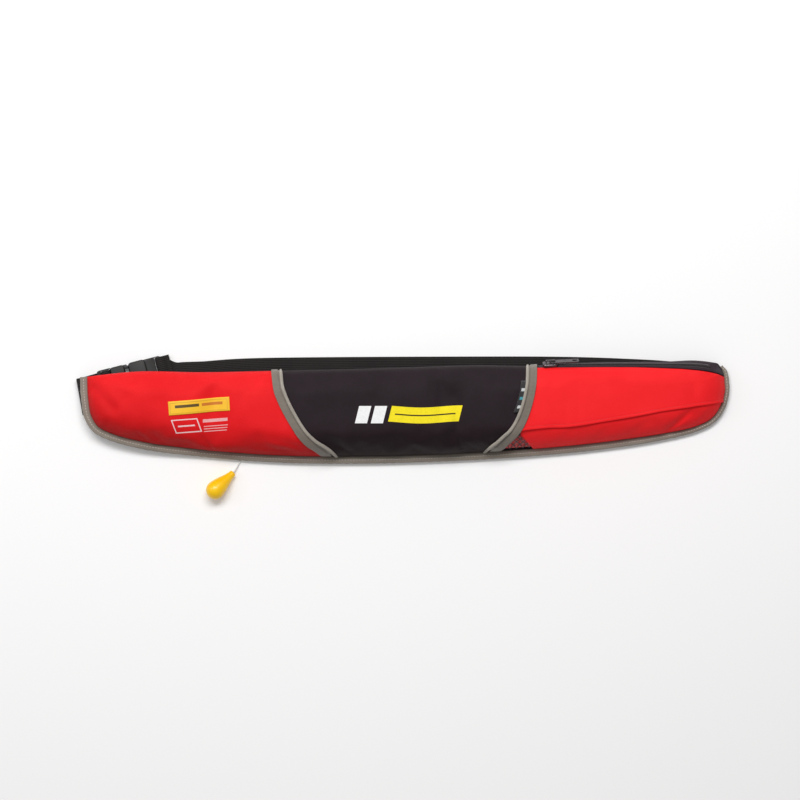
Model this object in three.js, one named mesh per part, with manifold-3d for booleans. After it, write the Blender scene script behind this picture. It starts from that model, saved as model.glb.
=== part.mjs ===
// Inflatable belt pack, lying on its back: a long soft pouch of red and black fabric panels with a grey
// bound edge, a webbing belt with a side-release buckle behind it, a zipped pocket and a pull knob.
// Millimetres. +X runs along the pack to the right, +Y to its top edge, +Z out of its front.
import * as THREE from "three";
import { mergeVertices } from "three/addons/utils/BufferGeometryUtils.js";
import Module from "manifold-3d";

const wasm = await Module();
wasm.setup();

// Pack sizes
const PACK_LENGTH = 700;
const PACK_HEIGHT = 104;
const PACK_THICKNESS = 37;
const FABRIC = 1.0;
const GAP = 0.3; // clearance between sewn or stacked pieces
const EDGE_ROLL = 30; // width over which the front curves up from the bound edge
const TOP_ROLL = 26; // width over which the front curves down to the top edge
const BACK_ROLL = 16; // the same under the top edge, on the back
const BACK_EDGE = 12; // width over which the back drops from the bound edge
const SEAM_SHARE = 0.42; // height of the top seam, as a share of the bulge
const FLANGE_HEIGHT = 4.6; // middle of the bound edge above the ground
const FLANGE_RAISE = 8.8; // how far the buckle lifts the bound edge at the left end

// Binding, trims and labels
const BINDING_WIDTH = 7.2;
const BINDING_END_WIDTH = 4.8;
const BINDING_TIP_WIDTH = 3.2; // at the top of the right end, where it tapers
const BINDING_THICKNESS = 3.2;
const TRIM_WIDTH = 10.6;
const TRIM_THICKNESS = 1.0;
const TRIM_SEAT = 0.6; // clearance of a trim over the curved panels
const FLAP_OVERLAP = 5;
const NET_THICKNESS = 0.8;
const NET_BAR_SHARE = 0.3;
const NET_HOLES_ALONG = 12;
const NET_HOLES_UP = 6;
const LABEL_THICKNESS = 0.6;
const LABEL_LENGTH = 67;
const LABEL_HEIGHT = 14.5;
const TAB_LENGTH = 33;
const TAB_REACH = 6;
const TAB_TUCK = 2; // under the trim
const TAB_FROM = 0.53; // share of the right trim's length, from its foot
const FILL_ABOVE = 5.2; // slack between the folded bladder and the front panels
const FILL_BELOW = 4.6; // the same over the back panel

// Zip
const COIL_WIDTH = 3.6;
const COIL_HEIGHT = 1.3;
const SLIDER_LENGTH = 16;
const SLIDER_WIDTH = 9;
const SLIDER_PLATE = 1.5;
const BRIDGE_LENGTH = 10;
const BRIDGE_WIDTH = 2.2;
const BRIDGE_BAR = 1.3;
const PULL_LENGTH = 31;
const PULL_WIDTH = 6.4;
const PULL_THICKNESS = 1.4;
const PULL_CLEARANCE = 0.5;
const PULL_HOLE_LENGTH = 5;
const PULL_HOLE_WIDTH = 3;
const PULL_HOLE_RIM = 2;
const SLIDER_CORNER = 2.6;
const SLIDER_SKEW = 6; // degrees

// Belt and buckle
const STRAP_WIDTH = 40;
const STRAP_THICKNESS = 1.8;
const STRAP_SIDE_PLAY = 1.5;
const STRAP_BEND = 1.4; // inner radius of the webbing round a bar
const FOLD_TILT = 10; // degrees, the fold line against the strap's square
const FOLD_SKEW = 4.5; // degrees between the fold's square and each layer
const FOLD_RADIUS = 4.4;
const ANCHOR_LENGTH = 74;
const TAIL_LENGTH = 9;
const BUCKLE_LENGTH = 71;
const BUCKLE_WIDTH = 46;
const BUCKLE_THICKNESS = 10;
const BUCKLE_WALL = 1.7;
const BUCKLE_TILT = 14.5; // degrees
const BAR_WIDTH = 4;
const SLOT_WIDTH = 3.4;
const FRAME_THICKNESS = 4.6;

// Pull cord and knob
const CORD_DIAMETER = 1.8;
const KNOB_LENGTH = 37.5;
const KNOB_RADIUS = 10;
const KNOB_NECK_RADIUS = 3.7;
const KNOB_TURN = -136; // degrees in plan
const EYELET_RADIUS = 3.8;
const EYELET_THICKNESS = 1.2;
const EYELET_SEAT = 0.9; // clearance of the eyelet under the curved back
const CORD_TUNNEL = 7.4; // height of the back above the ground where the cord comes out
const KNOB_PLAY = 0.1; // clearance of the cord and the knob above the ground

const COLORS = {
  red: 0xd8262c,
  black: 0x2c272a,
  dark: 0x3a3236,
  grey: 0x8c8277,
  webbing: 0x23282a,
  net: 0x1c1a1c,
  tab: 0x161416,
  label: 0xf5b81c,
  bladder: 0xa81f24,
  coil: 0x2a2629,
  slider: 0x3a3436,
  pull: 0x6b6264,
  buckle: 0x232526,
  eyelet: 0x1c1a1c,
  knob: 0xffb000,
  cord: 0xf2f0ea,
};

// Outer line of the binding, from the top left corner round the bottom to the top right corner.
// along: share of the pack's length from the left; up: share of its height from the lowest point.
const EDGE = [
  { along: 0.0, up: 0.897 },
  { along: 0.0015, up: 0.68 },
  { along: 0.0069, up: 0.474 },
  { along: 0.0192, up: 0.34 },
  { along: 0.0376, up: 0.263 },
  { along: 0.0929, up: 0.155 },
  { along: 0.185, up: 0.072 },
  { along: 0.308, up: 0.01 },
  { along: 0.431, up: 0.0 },
  { along: 0.554, up: 0.021 },
  { along: 0.677, up: 0.067 },
  { along: 0.8, up: 0.144 },
  { along: 0.892, up: 0.237 },
  { along: 0.953, up: 0.34 },
  { along: 0.978, up: 0.433 },
  { along: 0.993, up: 0.567 },
  { along: 1.0, up: 0.742 },
  { along: 0.9995, up: 0.868 },
  { along: 0.9965, up: 0.962 },
  { along: 0.9895, up: 1.021 },
];

// Top edge of the pack seen from the front
const TOP_EDGE = [
  { along: 0.0315, up: 0.918 },
  { along: 0.093, up: 0.956 },
  { along: 0.185, up: 0.948 },
  { along: 0.277, up: 0.959 },
  { along: 0.4, up: 0.979 },
  { along: 0.492, up: 0.997 },
  { along: 0.615, up: 1.021 },
  { along: 0.692, up: 1.013 },
  { along: 0.73, up: 1.034 },
  { along: 0.8, up: 1.05 },
  { along: 0.892, up: 1.056 },
  { along: 0.9455, up: 1.07 },
  { along: 0.9716, up: 1.052 },
];

// Upper seam of the pocket flap, below the top edge
const POCKET_SEAM = [
  { along: 0.69, up: 0.99 },
  { along: 0.738, up: 0.994 },
  { along: 0.861, up: 0.996 },
  { along: 0.922, up: 0.979 },
  { along: 0.953, up: 0.959 },
  { along: 0.978, up: 0.928 },
  { along: 0.9915, up: 0.897 },
];

// Lower edge of the pocket flap
const FLAP_EDGE = [
  { along: 0.66, up: 0.335 },
  { along: 0.711, up: 0.371 },
  { along: 0.75, up: 0.385 },
  { along: 0.828, up: 0.464 },
  { along: 0.902, up: 0.552 },
  { along: 0.9355, up: 0.586 },
  { along: 0.9915, up: 0.641 },
];

// Middle lines of the two grey trims, from foot to head
const LEFT_TRIM = [
  { along: 0.386, up: 0.06 },
  { along: 0.3495, up: 0.263 },
  { along: 0.325, up: 0.5 },
  { along: 0.308, up: 0.753 },
  { along: 0.3015, up: 0.99 },
];
const RIGHT_TRIM = [
  { along: 0.622, up: 0.06 },
  { along: 0.6545, up: 0.237 },
  { along: 0.674, up: 0.402 },
  { along: 0.6855, up: 0.588 },
  { along: 0.693, up: 0.814 },
  { along: 0.6955, up: 1.04 },
];

// Middle line of the belt behind the pack, from the buckle to the sewn right end
const BELT_LINE = [
  { along: 0.149, up: 0.853 },
  { along: 0.185, up: 0.867 },
  { along: 0.247, up: 0.898 },
  { along: 0.339, up: 0.911 },
  { along: 0.538, up: 0.919 },
  { along: 0.738, up: 0.918 },
  { along: 0.861, up: 0.891 },
  { along: 0.922, up: 0.862 },
  { along: 0.965, up: 0.835 },
];

// Thickness of the bulge along the pack
const BULGE = [
  { along: -0.05, up: 0.6 },
  { along: 0.02, up: 0.66 },
  { along: 0.1, up: 0.84 },
  { along: 0.2, up: 0.96 },
  { along: 0.4, up: 1.0 },
  { along: 0.7, up: 1.0 },
  { along: 0.88, up: 0.88 },
  { along: 0.97, up: 0.72 },
  { along: 1.05, up: 0.6 },
];

const FOLD_PLACE = { along: -0.0019, up: 0.69 }; // middle of the strap's outermost fold at the left end
const BUCKLE_PLACE = { along: 0.0324, up: 0.7426 }; // middle of the buckle's outer end
const CUT_FOOT = 0.7; // along, foot of the lower pocket panel's cut edge
const CUT_HEAD = { along: 0.6755, up: 0.36 };
const NET_ENDS = [0.654, 0.714];
const SLIDER_PLACE = 0.7225;
const COIL_ENDS = [0.7345, 0.966];
const EYELET_PLACE = { along: 0.2575, up: 0.235 };
const KNOB_NECK = { along: 0.2352, up: -0.0955 };
const LABEL_PLACE = { along: 0.186, up: 0.598 };
const LABEL_TILT = 4; // degrees
const LEFT_CORNER = 0.072; // share of the bound edge's length, at its lower left corner
const RIGHT_CORNER = 0.915;
const PANEL_END = 0.9965; // where the top edge meets the bound edge at the right end

const radians = THREE.MathUtils.degToRad;
const mix = THREE.MathUtils.lerp;
const smooth = (from, to, value) => THREE.MathUtils.smoothstep(value, from, to);
const along = (share) => (share - 0.5) * PACK_LENGTH;
const inPlan = (row) => new THREE.Vector2(along(row.along), row.up * PACK_HEIGHT);

// Steps from 0 to 1: even, or closer together at the ends that are named.
const evenSteps = (count) => Array.from({ length: count + 1 }, (_, i) => i / count);
const bothEnds = (count) => evenSteps(count).map((t) => 0.5 - 0.5 * Math.cos(Math.PI * t));
const atStart = (count) => evenSteps(count).map((t) => 1 - Math.cos((Math.PI * t) / 2));
const atEnd = (count) => evenSteps(count).map((t) => Math.sin((Math.PI * t) / 2));

// A line in plan as a height over X, straight on beyond its ends.
function polylineOver(line) {
  return (x) => {
    let i = 1;
    while (i < line.length - 1 && line[i].x < x) i += 1;
    const share = (x - line[i - 1].x) / (line[i].x - line[i - 1].x);
    return mix(line[i - 1].y, line[i].y, share);
  };
}
const heightOver = (points) => polylineOver(new THREE.SplineCurve(points).getPoints(160));

// Bound edge
const edgeLine = new THREE.CatmullRomCurve3(
  EDGE.map((row) => new THREE.Vector3(along(row.along), row.up * PACK_HEIGHT, 0)),
);
edgeLine.arcLengthDivisions = 800;
const bindingWidth = (share) =>
  mix(mix(BINDING_WIDTH, BINDING_END_WIDTH, smooth(0.78, 0.93, share)), BINDING_TIP_WIDTH, smooth(0.972, 1, share));
const inward = (share) => {
  const tangent = edgeLine.getTangentAt(share);
  return new THREE.Vector2(-tangent.y, tangent.x).normalize();
};
const edgePoint = (share, inset) => {
  const point = edgeLine.getPointAt(share);
  return new THREE.Vector2(point.x, point.y).addScaledVector(inward(share), inset);
};
const crevice = (share) => edgePoint(share, bindingWidth(share) + 2 * GAP);
const creviceLine = evenSteps(260).map(crevice);

function shareWhere(from, to, reached) {
  const shares = evenSteps(400).map((t) => mix(from, to, t));
  return shares.find((share) => reached(crevice(share))) ?? to;
}
const footShare = (x) => shareWhere(LEFT_CORNER, RIGHT_CORNER, (point) => point.x >= x);
const endShare = (y) => shareWhere(RIGHT_CORNER, 1, (point) => point.y >= y);
const creviceOver = polylineOver(evenSteps(120).map((t) => crevice(mix(LEFT_CORNER, RIGHT_CORNER, t))));

const topOver = heightOver([crevice(0), ...TOP_EDGE.map(inPlan), crevice(PANEL_END)]);
const seamOver = heightOver(POCKET_SEAM.map(inPlan));
const flapOver = heightOver(FLAP_EDGE.map(inPlan));
const beltOver = heightOver(BELT_LINE.map(inPlan));
const bulgeOver = heightOver(BULGE.map(inPlan));

function distanceToEdge(x, y) {
  let least = Infinity;
  for (let i = 1; i < creviceLine.length; i += 1) {
    const a = creviceLine[i - 1];
    const dx = creviceLine[i].x - a.x;
    const dy = creviceLine[i].y - a.y;
    const t = THREE.MathUtils.clamp(((x - a.x) * dx + (y - a.y) * dy) / (dx * dx + dy * dy), 0, 1);
    least = Math.min(least, Math.hypot(x - a.x - t * dx, y - a.y - t * dy));
  }
  return least;
}

// Quarter of a rounded section: 0 at the edge, 1 from one roll width inwards.
const roll = (distance, width) => {
  const q = THREE.MathUtils.clamp(1 - distance / width, 0, 1);
  return Math.sqrt(1 - q * q);
};

// Heights of the pack's two faces. The buckle and the belt lie under the back and lift it.
const buckleEnd = inPlan(BUCKLE_PLACE);
const buckleLow = (x) => {
  const middle = buckleEnd.y + (x - buckleEnd.x) * Math.tan(radians(BUCKLE_TILT));
  return middle - BUCKLE_WIDTH / 2 / Math.cos(radians(BUCKLE_TILT));
};
const foldEdge = inPlan(FOLD_PLACE);
const anchorWay = FOLD_TILT - FOLD_SKEW;
const anchorLow = (x) => foldEdge.y + (x - foldEdge.x) * Math.tan(radians(anchorWay)) - STRAP_WIDTH / 2;
const buckleRight = buckleEnd.x + BUCKLE_LENGTH + TAIL_LENGTH;
const flangeHeight = (x) => {
  const lifted = 1 - smooth(buckleEnd.x, buckleRight + BUCKLE_WIDTH, x);
  return FLANGE_HEIGHT + FLANGE_RAISE * lifted;
};
const eyelet = inPlan(EYELET_PLACE);

function groundClearance(x, y) {
  const overBelt = smooth(beltOver(x) - STRAP_WIDTH * 0.9, beltOver(x) - STRAP_WIDTH * 0.62, y);
  const belt = (STRAP_THICKNESS + 3 * GAP) * overBelt;
  const overBuckle = 1 - smooth(buckleRight, buckleRight + BUCKLE_WIDTH * 0.7, x);
  const low = Math.min(buckleLow(x), anchorLow(x));
  const aboveLow = smooth(low - STRAP_WIDTH * 0.5, low - STRAP_WIDTH * 0.1, y);
  const buckle = (BUCKLE_THICKNESS + STRAP_THICKNESS + 5 * GAP) * overBuckle * aboveLow;
  const away = Math.hypot(x - eyelet.x, y - eyelet.y) / EYELET_RADIUS;
  const tunnel = CORD_TUNNEL * (1 - smooth(2.6, 9, away));
  return Math.max(belt, buckle, tunnel);
}

function frontHeight(x, y) {
  const bulge = (PACK_THICKNESS - FLANGE_HEIGHT) * (bulgeOver(x) / PACK_HEIGHT);
  const topShare = mix(SEAM_SHARE, 1, roll(topOver(x) - y, TOP_ROLL));
  return flangeHeight(x) + GAP + bulge * roll(distanceToEdge(x, y), EDGE_ROLL) * topShare;
}

function backHeight(x, y) {
  const underFlange = flangeHeight(x) - BINDING_THICKNESS / 2;
  const flat = mix(underFlange, groundClearance(x, y), smooth(0, BACK_EDGE, distanceToEdge(x, y)));
  const pinch = smooth(0, BACK_EDGE, distanceToEdge(x, y));
  const seam = mix(underFlange, frontHeight(x, topOver(x)) - 2 * GAP, pinch);
  return mix(seam, flat, roll(topOver(x) - y, BACK_ROLL));
}

// A patch in plan between four border lines.
function between(bottom, top, left, right) {
  const corners = [bottom(0), bottom(1), top(0), top(1)];
  return (u, v) => {
    const point = new THREE.Vector2();
    point.addScaledVector(bottom(u), 1 - v).addScaledVector(top(u), v);
    point.addScaledVector(left(v), 1 - u).addScaledVector(right(v), u);
    point.addScaledVector(corners[0], -(1 - u) * (1 - v)).addScaledVector(corners[1], -u * (1 - v));
    return point.addScaledVector(corners[2], -(1 - u) * v).addScaledVector(corners[3], -u * v);
  };
}

function meshed(vertices, faces) {
  const geometry = new THREE.BufferGeometry();
  const numbers = vertices.flatMap((p) => [p.x, p.y, p.z]);
  geometry.setAttribute("position", new THREE.Float32BufferAttribute(numbers, 3));
  geometry.setIndex(faces.flat());
  const flat = geometry.toNonIndexed();
  flat.computeVertexNormals();
  return flat;
}

// A cloth wall on one of the pack's faces: a grid of cells over a patch in plan, lifted off the face by
// lift and as thick as wall. Cells that open(i, j) names are cut through.
function clothWall({ place, face, us, vs, lift = () => 0, wall = FABRIC, open = () => false }) {
  const outward = face === backHeight ? -1 : 1;
  const onFace = (u, v) => {
    const point = place(u, v);
    return new THREE.Vector3(point.x, point.y, face(point.x, point.y));
  };
  const step = 0.002;
  const vertices = [];
  for (const u of us) {
    for (const v of vs) {
      const alongU = onFace(Math.min(u + step, 1), v).sub(onFace(Math.max(u - step, 0), v));
      const alongV = onFace(u, Math.min(v + step, 1)).sub(onFace(u, Math.max(v - step, 0)));
      const normal = alongU.cross(alongV).normalize().multiplyScalar(outward);
      const base = onFace(u, v);
      vertices.push(base.clone().addScaledVector(normal, lift(u, v)));
      vertices.push(base.clone().addScaledVector(normal, lift(u, v) - wall));
    }
  }
  const index = (i, j, side) => 2 * (i * vs.length + j) + side;
  const inside = (i, j) => i >= 0 && j >= 0 && i < us.length - 1 && j < vs.length - 1;
  const filled = (i, j) => inside(i, j) && !open(i, j);
  const faces = [];
  const quad = (a, b, c, d) => {
    if (outward > 0) faces.push([a, b, c], [a, c, d]);
    else faces.push([a, c, b], [a, d, c]);
  };
  for (let i = 0; i < us.length - 1; i += 1) {
    for (let j = 0; j < vs.length - 1; j += 1) {
      if (!filled(i, j)) continue;
      const [a, b, c, d] = [[i, j], [i + 1, j], [i + 1, j + 1], [i, j + 1]];
      quad(index(...a, 0), index(...b, 0), index(...c, 0), index(...d, 0));
      quad(index(...d, 1), index(...c, 1), index(...b, 1), index(...a, 1));
      const sides = [
        [a, b, filled(i, j - 1)],
        [b, c, filled(i + 1, j)],
        [c, d, filled(i, j + 1)],
        [d, a, filled(i - 1, j)],
      ];
      for (const [from, to, continues] of sides) {
        if (!continues) quad(index(...to, 0), index(...from, 0), index(...from, 1), index(...to, 1));
      }
    }
  }
  return meshed(vertices, faces);
}

// A closed bar along stations, each a ring of corner points in the same order.
function ringBar(rings) {
  const count = rings[0].length;
  const faces = [];
  for (let i = 1; i < rings.length; i += 1) {
    for (let j = 0; j < count; j += 1) {
      const [a, b] = [(i - 1) * count + j, (i - 1) * count + ((j + 1) % count)];
      faces.push([a, b, b + count], [a, b + count, a + count]);
    }
  }
  const last = (rings.length - 1) * count;
  for (let j = 1; j < count - 1; j += 1) faces.push([0, j + 1, j], [last, last + j, last + j + 1]);
  return meshed(rings.flat(), faces);
}

// Flat webbing along a path of points; side(i) is the direction across it at each point.
function webbing(path, side, width = STRAP_WIDTH, thickness = STRAP_THICKNESS) {
  const rings = path.map((point, i) => {
    const before = path[Math.max(i - 1, 0)];
    const after = path[Math.min(i + 1, path.length - 1)];
    const across = side(i).clone().normalize();
    const normal = after.clone().sub(before).cross(across).normalize();
    const corner = (w, t) => {
      const edge = point.clone().addScaledVector(across, (w * width) / 2);
      return edge.addScaledVector(normal, (t * thickness) / 2);
    };
    return [corner(-1, -1), corner(1, -1), corner(1, 1), corner(-1, 1)];
  });
  return ringBar(rings);
}

// Joining and cutting closed geometries
function toSolid(geometry) {
  const bare = geometry.clone();
  bare.deleteAttribute("normal");
  bare.deleteAttribute("uv");
  const merged = mergeVertices(bare, 1e-4);
  const triVerts = new Uint32Array(merged.index.array);
  const vertProperties = new Float32Array(merged.attributes.position.array);
  return new wasm.Manifold(new wasm.Mesh({ numProp: 3, vertProperties, triVerts }));
}
function fromSolid(solid) {
  const { vertProperties, triVerts } = solid.getMesh();
  const geometry = new THREE.BufferGeometry();
  geometry.setAttribute("position", new THREE.BufferAttribute(vertProperties, 3));
  geometry.setIndex(new THREE.BufferAttribute(triVerts, 1));
  const flat = geometry.toNonIndexed();
  flat.computeVertexNormals();
  return flat;
}
const joined = (...pieces) => pieces.map(toSolid).reduce((whole, piece) => whole.add(piece));
const cutBy = (solid, ...cutters) =>
  cutters.map(toSolid).reduce((rest, cutter) => rest.subtract(cutter), solid);

// A flat plate between two heights, from a rounded rectangle or an outline in plan.
function roundedPlate(x0, x1, y0, y1, radius, z0, z1, bevel = 0) {
  const shape = new THREE.Shape();
  const [a, b, c, d] = [x0 + bevel, x1 - bevel, y0 + bevel, y1 - bevel];
  const r = Math.max(radius - bevel, 0.01);
  shape.absarc(b - r, c + r, r, -Math.PI / 2, 0);
  shape.absarc(b - r, d - r, r, 0, Math.PI / 2);
  shape.absarc(a + r, d - r, r, Math.PI / 2, Math.PI);
  shape.absarc(a + r, c + r, r, Math.PI, Math.PI * 1.5);
  return platedShape(shape, z0, z1, bevel);
}
function platedShape(shape, z0, z1, bevel = 0) {
  const settings = {
    depth: z1 - z0 - 2 * bevel,
    bevelEnabled: bevel > 0,
    bevelSize: bevel,
    bevelThickness: bevel,
    bevelSegments: 1,
    curveSegments: 3,
  };
  return new THREE.ExtrudeGeometry(shape, settings).translate(0, 0, z0 + bevel);
}
const box = (x0, x1, y0, y1, z0, z1) =>
  new THREE.BoxGeometry(x1 - x0, y1 - y0, z1 - z0).translate((x0 + x1) / 2, (y0 + y1) / 2, (z0 + z1) / 2);

const pack = new THREE.Group();
const freeCord = new Set();
function add(name, geometry, color, roughness = 0.85, metalness = 0) {
  const mesh = new THREE.Mesh(geometry, new THREE.MeshStandardMaterial({ color, roughness, metalness }));
  mesh.name = name;
  pack.add(mesh);
  return mesh;
}

// Trim lines as a place across the front: x, and the share of the way from the crevice to the top edge.
function trimLine(rows) {
  const curve = new THREE.SplineCurve(rows.map(inPlan));
  const shareAt = (t) => {
    const point = curve.getPoint(t);
    const low = creviceOver(point.x);
    return (point.y - low) / (topOver(point.x) - low);
  };
  const fine = evenSteps(800);
  const foot = fine.findLast((t) => shareAt(t) <= 0) ?? 0;
  const head = fine.find((t) => shareAt(t) >= 1) ?? 1;
  return (steps, shift = 0) => {
    const t = mix(foot, head, steps);
    const point = curve.getPoint(t);
    const share = steps === 1 ? 1 : THREE.MathUtils.clamp(shareAt(t), 0, 1);
    const slope = Math.abs(curve.getTangent(t).y);
    const x = point.x + shift / Math.max(slope, 0.4);
    return new THREE.Vector2(x, mix(creviceOver(x), topOver(x), share));
  };
}
const leftTrim = trimLine(LEFT_TRIM);
const rightTrim = trimLine(RIGHT_TRIM);
const trimWhere = (trim, reached) => evenSteps(400).find((t) => reached(trim(t))) ?? 1;
const JOIN = GAP / 2; // half the slit between two panels under a trim

// Front panels. Each runs from the crevice beside the binding to the pack's top edge.
const bottomBorder = (from, to) => (u) => crevice(mix(from, to, u));
const overX = (line, from, to) => (u) => {
  const x = mix(from, to, u);
  return new THREE.Vector2(x, line(x));
};

const leftFoot = (shift) => footShare(leftTrim(0, shift).x);
const rightFoot = (shift) => footShare(rightTrim(0, shift).x);
add(
  "front_left_panel",
  clothWall({
    face: frontHeight,
    us: atStart(16),
    vs: bothEnds(11),
    place: between(
      bottomBorder(LEFT_CORNER, leftFoot(-JOIN)),
      overX(topOver, crevice(0).x, leftTrim(1, -JOIN).x),
      (v) => crevice(mix(LEFT_CORNER, 0, v)),
      (v) => leftTrim(v, -JOIN),
    ),
  }),
  COLORS.red,
);
add(
  "front_centre_panel",
  clothWall({
    face: frontHeight,
    us: evenSteps(14),
    vs: bothEnds(11),
    place: between(
      bottomBorder(leftFoot(JOIN), rightFoot(-JOIN)),
      overX(topOver, leftTrim(1, JOIN).x, rightTrim(1, -JOIN).x),
      (v) => leftTrim(v, JOIN),
      (v) => rightTrim(v, -JOIN),
    ),
  }),
  COLORS.black,
);

// Pocket on the right: a flap over a lower panel, whose cut corner shows a drain net
const flapStart = trimWhere(rightTrim, (point) => point.y >= flapOver(point.x));
const seamStart = trimWhere(rightTrim, (point) => point.y >= seamOver(point.x));
const flapEnd = endShare(FLAP_EDGE.at(-1).up * PACK_HEIGHT);
const seamEnd = endShare(POCKET_SEAM.at(-1).up * PACK_HEIGHT);
add(
  "front_right_flap",
  clothWall({
    face: frontHeight,
    us: atEnd(14),
    vs: evenSteps(8),
    place: between(
      overX(flapOver, rightTrim(flapStart, JOIN).x, crevice(flapEnd).x),
      overX(seamOver, rightTrim(seamStart, JOIN).x, crevice(seamEnd).x),
      (v) => rightTrim(mix(flapStart, seamStart, v), JOIN),
      (v) => crevice(mix(flapEnd, seamEnd, v)),
    ),
  }),
  COLORS.red,
);

const underFlap = (x) => flapOver(x) + FLAP_OVERLAP;
const underFlapEnd = endShare(FLAP_EDGE.at(-1).up * PACK_HEIGHT + FLAP_OVERLAP);
const sunk = (v) => -(FABRIC + GAP) * smooth(0, 0.6, v);
const cutHead = inPlan(CUT_HEAD);
const cutFoot = crevice(footShare(along(CUT_FOOT)));
add(
  "front_right_lower_panel",
  clothWall({
    face: frontHeight,
    us: atEnd(12),
    vs: atStart(6),
    lift: (u, v) => sunk(v),
    place: between(
      bottomBorder(footShare(along(CUT_FOOT)), RIGHT_CORNER),
      overX(underFlap, cutHead.x, crevice(underFlapEnd).x),
      (v) => cutFoot.clone().lerp(new THREE.Vector2(cutHead.x, underFlap(cutHead.x)), v),
      (v) => crevice(mix(RIGHT_CORNER, underFlapEnd, v)),
    ),
  }),
  COLORS.red,
);

// The net is a grid of bars and holes: even cells are bars, and a cell with both numbers odd is a hole.
function netSteps(holes) {
  const steps = [0];
  for (let i = 0; i < holes; i += 1) steps.push(i + NET_BAR_SHARE, i + 1);
  steps.push(holes + NET_BAR_SHARE);
  return steps.map((step) => step / (holes + NET_BAR_SHARE));
}
const netEnds = NET_ENDS.map(along);
const netTop = (x) => underFlap(x) - 1;
const netSide = (x) => (v) => crevice(footShare(x)).lerp(new THREE.Vector2(x, netTop(x)), v);
add(
  "drain_net",
  clothWall({
    face: frontHeight,
    us: netSteps(NET_HOLES_ALONG),
    vs: netSteps(NET_HOLES_UP),
    wall: NET_THICKNESS,
    lift: (u, v) => sunk(v) - FABRIC - TRIM_SEAT,
    open: (i, j) => i % 2 === 1 && j % 2 === 1,
    place: between(
      bottomBorder(footShare(netEnds[0]), footShare(netEnds[1])),
      overX(netTop, netEnds[0], netEnds[1]),
      netSide(netEnds[0]),
      netSide(netEnds[1]),
    ),
  }),
  COLORS.net,
);

// Dark strip between the pocket's seam and the top edge
const seamSlit = (x) => seamOver(x) + GAP;
const gussetLeft = rightTrim(1, TRIM_WIDTH / 2).x + 2 * GAP;
add(
  "top_gusset",
  clothWall({
    face: frontHeight,
    us: atEnd(16),
    vs: atEnd(4),
    place: between(
      overX(seamSlit, gussetLeft, crevice(seamEnd).x),
      overX(topOver, gussetLeft, crevice(PANEL_END).x),
      (v) => new THREE.Vector2(gussetLeft, mix(seamSlit(gussetLeft), topOver(gussetLeft), v)),
      (v) => crevice(mix(seamEnd + 0.002, PANEL_END, v)),
    ),
  }),
  COLORS.dark,
);

// Back panel: the whole back, with its upper part rolled up to the top seam
const eyeletColumn = (footShare(eyelet.x) - LEFT_CORNER) / (RIGHT_CORNER - LEFT_CORNER);
add(
  "back_panel",
  clothWall({
    face: backHeight,
    us: [...bothEnds(34), eyeletColumn - 0.02, eyeletColumn, eyeletColumn + 0.02].sort((a, b) => a - b),
    vs: bothEnds(12),
    place: between(
      bottomBorder(LEFT_CORNER, RIGHT_CORNER),
      overX(topOver, crevice(0).x, crevice(PANEL_END).x),
      (v) => crevice(mix(LEFT_CORNER, 0, v)),
      (v) => crevice(mix(RIGHT_CORNER, PANEL_END, v)),
    ),
  }),
  COLORS.dark,
);

// Binding folded round the seam
const bindingHalf = BINDING_THICKNESS / 2;
const bindingShares = [
  ...evenSteps(24).map((t) => t * 0.14),
  ...evenSteps(42).map((t) => mix(0.14, 0.84, t)).slice(1),
  ...evenSteps(28).map((t) => mix(0.84, 1, t)).slice(1),
];
const bindingRings = bindingShares.map((share) => {
  const width = bindingWidth(share);
  const height = flangeHeight(edgePoint(share, width).x);
  const corner = (inset, up) => {
    const point = edgePoint(share, inset);
    return new THREE.Vector3(point.x, point.y, height + up);
  };
  return [
    corner(0, -bindingHalf * 0.4),
    corner(bindingHalf * 0.6, -bindingHalf),
    corner(width, -bindingHalf),
    corner(width, bindingHalf),
    corner(bindingHalf * 0.6, bindingHalf),
    corner(0, bindingHalf * 0.4),
  ];
});
add("perimeter_binding", ringBar(bindingRings), COLORS.grey);

// Grey trims over the two joins of the front panels
function trimStrip(trim) {
  return clothWall({
    face: frontHeight,
    us: evenSteps(2),
    vs: bothEnds(22),
    wall: TRIM_THICKNESS,
    lift: () => TRIM_SEAT + TRIM_THICKNESS,
    place: (u, v) => trim(mix(0.012, 1, v), mix(-TRIM_WIDTH / 2, TRIM_WIDTH / 2, u)),
  });
}
add("trim_left", trimStrip(leftTrim), COLORS.grey);
add("trim_right", trimStrip(rightTrim), COLORS.grey);

// Small plain tab that hangs from under the right trim, and the plain label on the left panel
const tabTo = TAB_FROM + TAB_LENGTH / PACK_HEIGHT;
const tabShift = (u) => mix(-TAB_REACH, TAB_TUCK, u) - TRIM_WIDTH / 2;
add(
  "side_tab",
  clothWall({
    face: frontHeight,
    us: evenSteps(1),
    vs: evenSteps(3),
    wall: LABEL_THICKNESS,
    lift: () => TRIM_SEAT * 2 + TRIM_THICKNESS + LABEL_THICKNESS,
    place: (u, v) => rightTrim(mix(TAB_FROM, tabTo, v), tabShift(u)),
  }),
  COLORS.tab,
);
const labelPlace = inPlan(LABEL_PLACE);
add(
  "front_label",
  clothWall({
    face: frontHeight,
    us: evenSteps(8),
    vs: evenSteps(2),
    wall: LABEL_THICKNESS,
    lift: () => TRIM_SEAT + LABEL_THICKNESS,
    place: (u, v) =>
      new THREE.Vector2((u - 0.5) * LABEL_LENGTH, (v - 0.5) * LABEL_HEIGHT)
        .rotateAround(new THREE.Vector2(), radians(LABEL_TILT))
        .add(labelPlace),
  }),
  COLORS.label,
);

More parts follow.
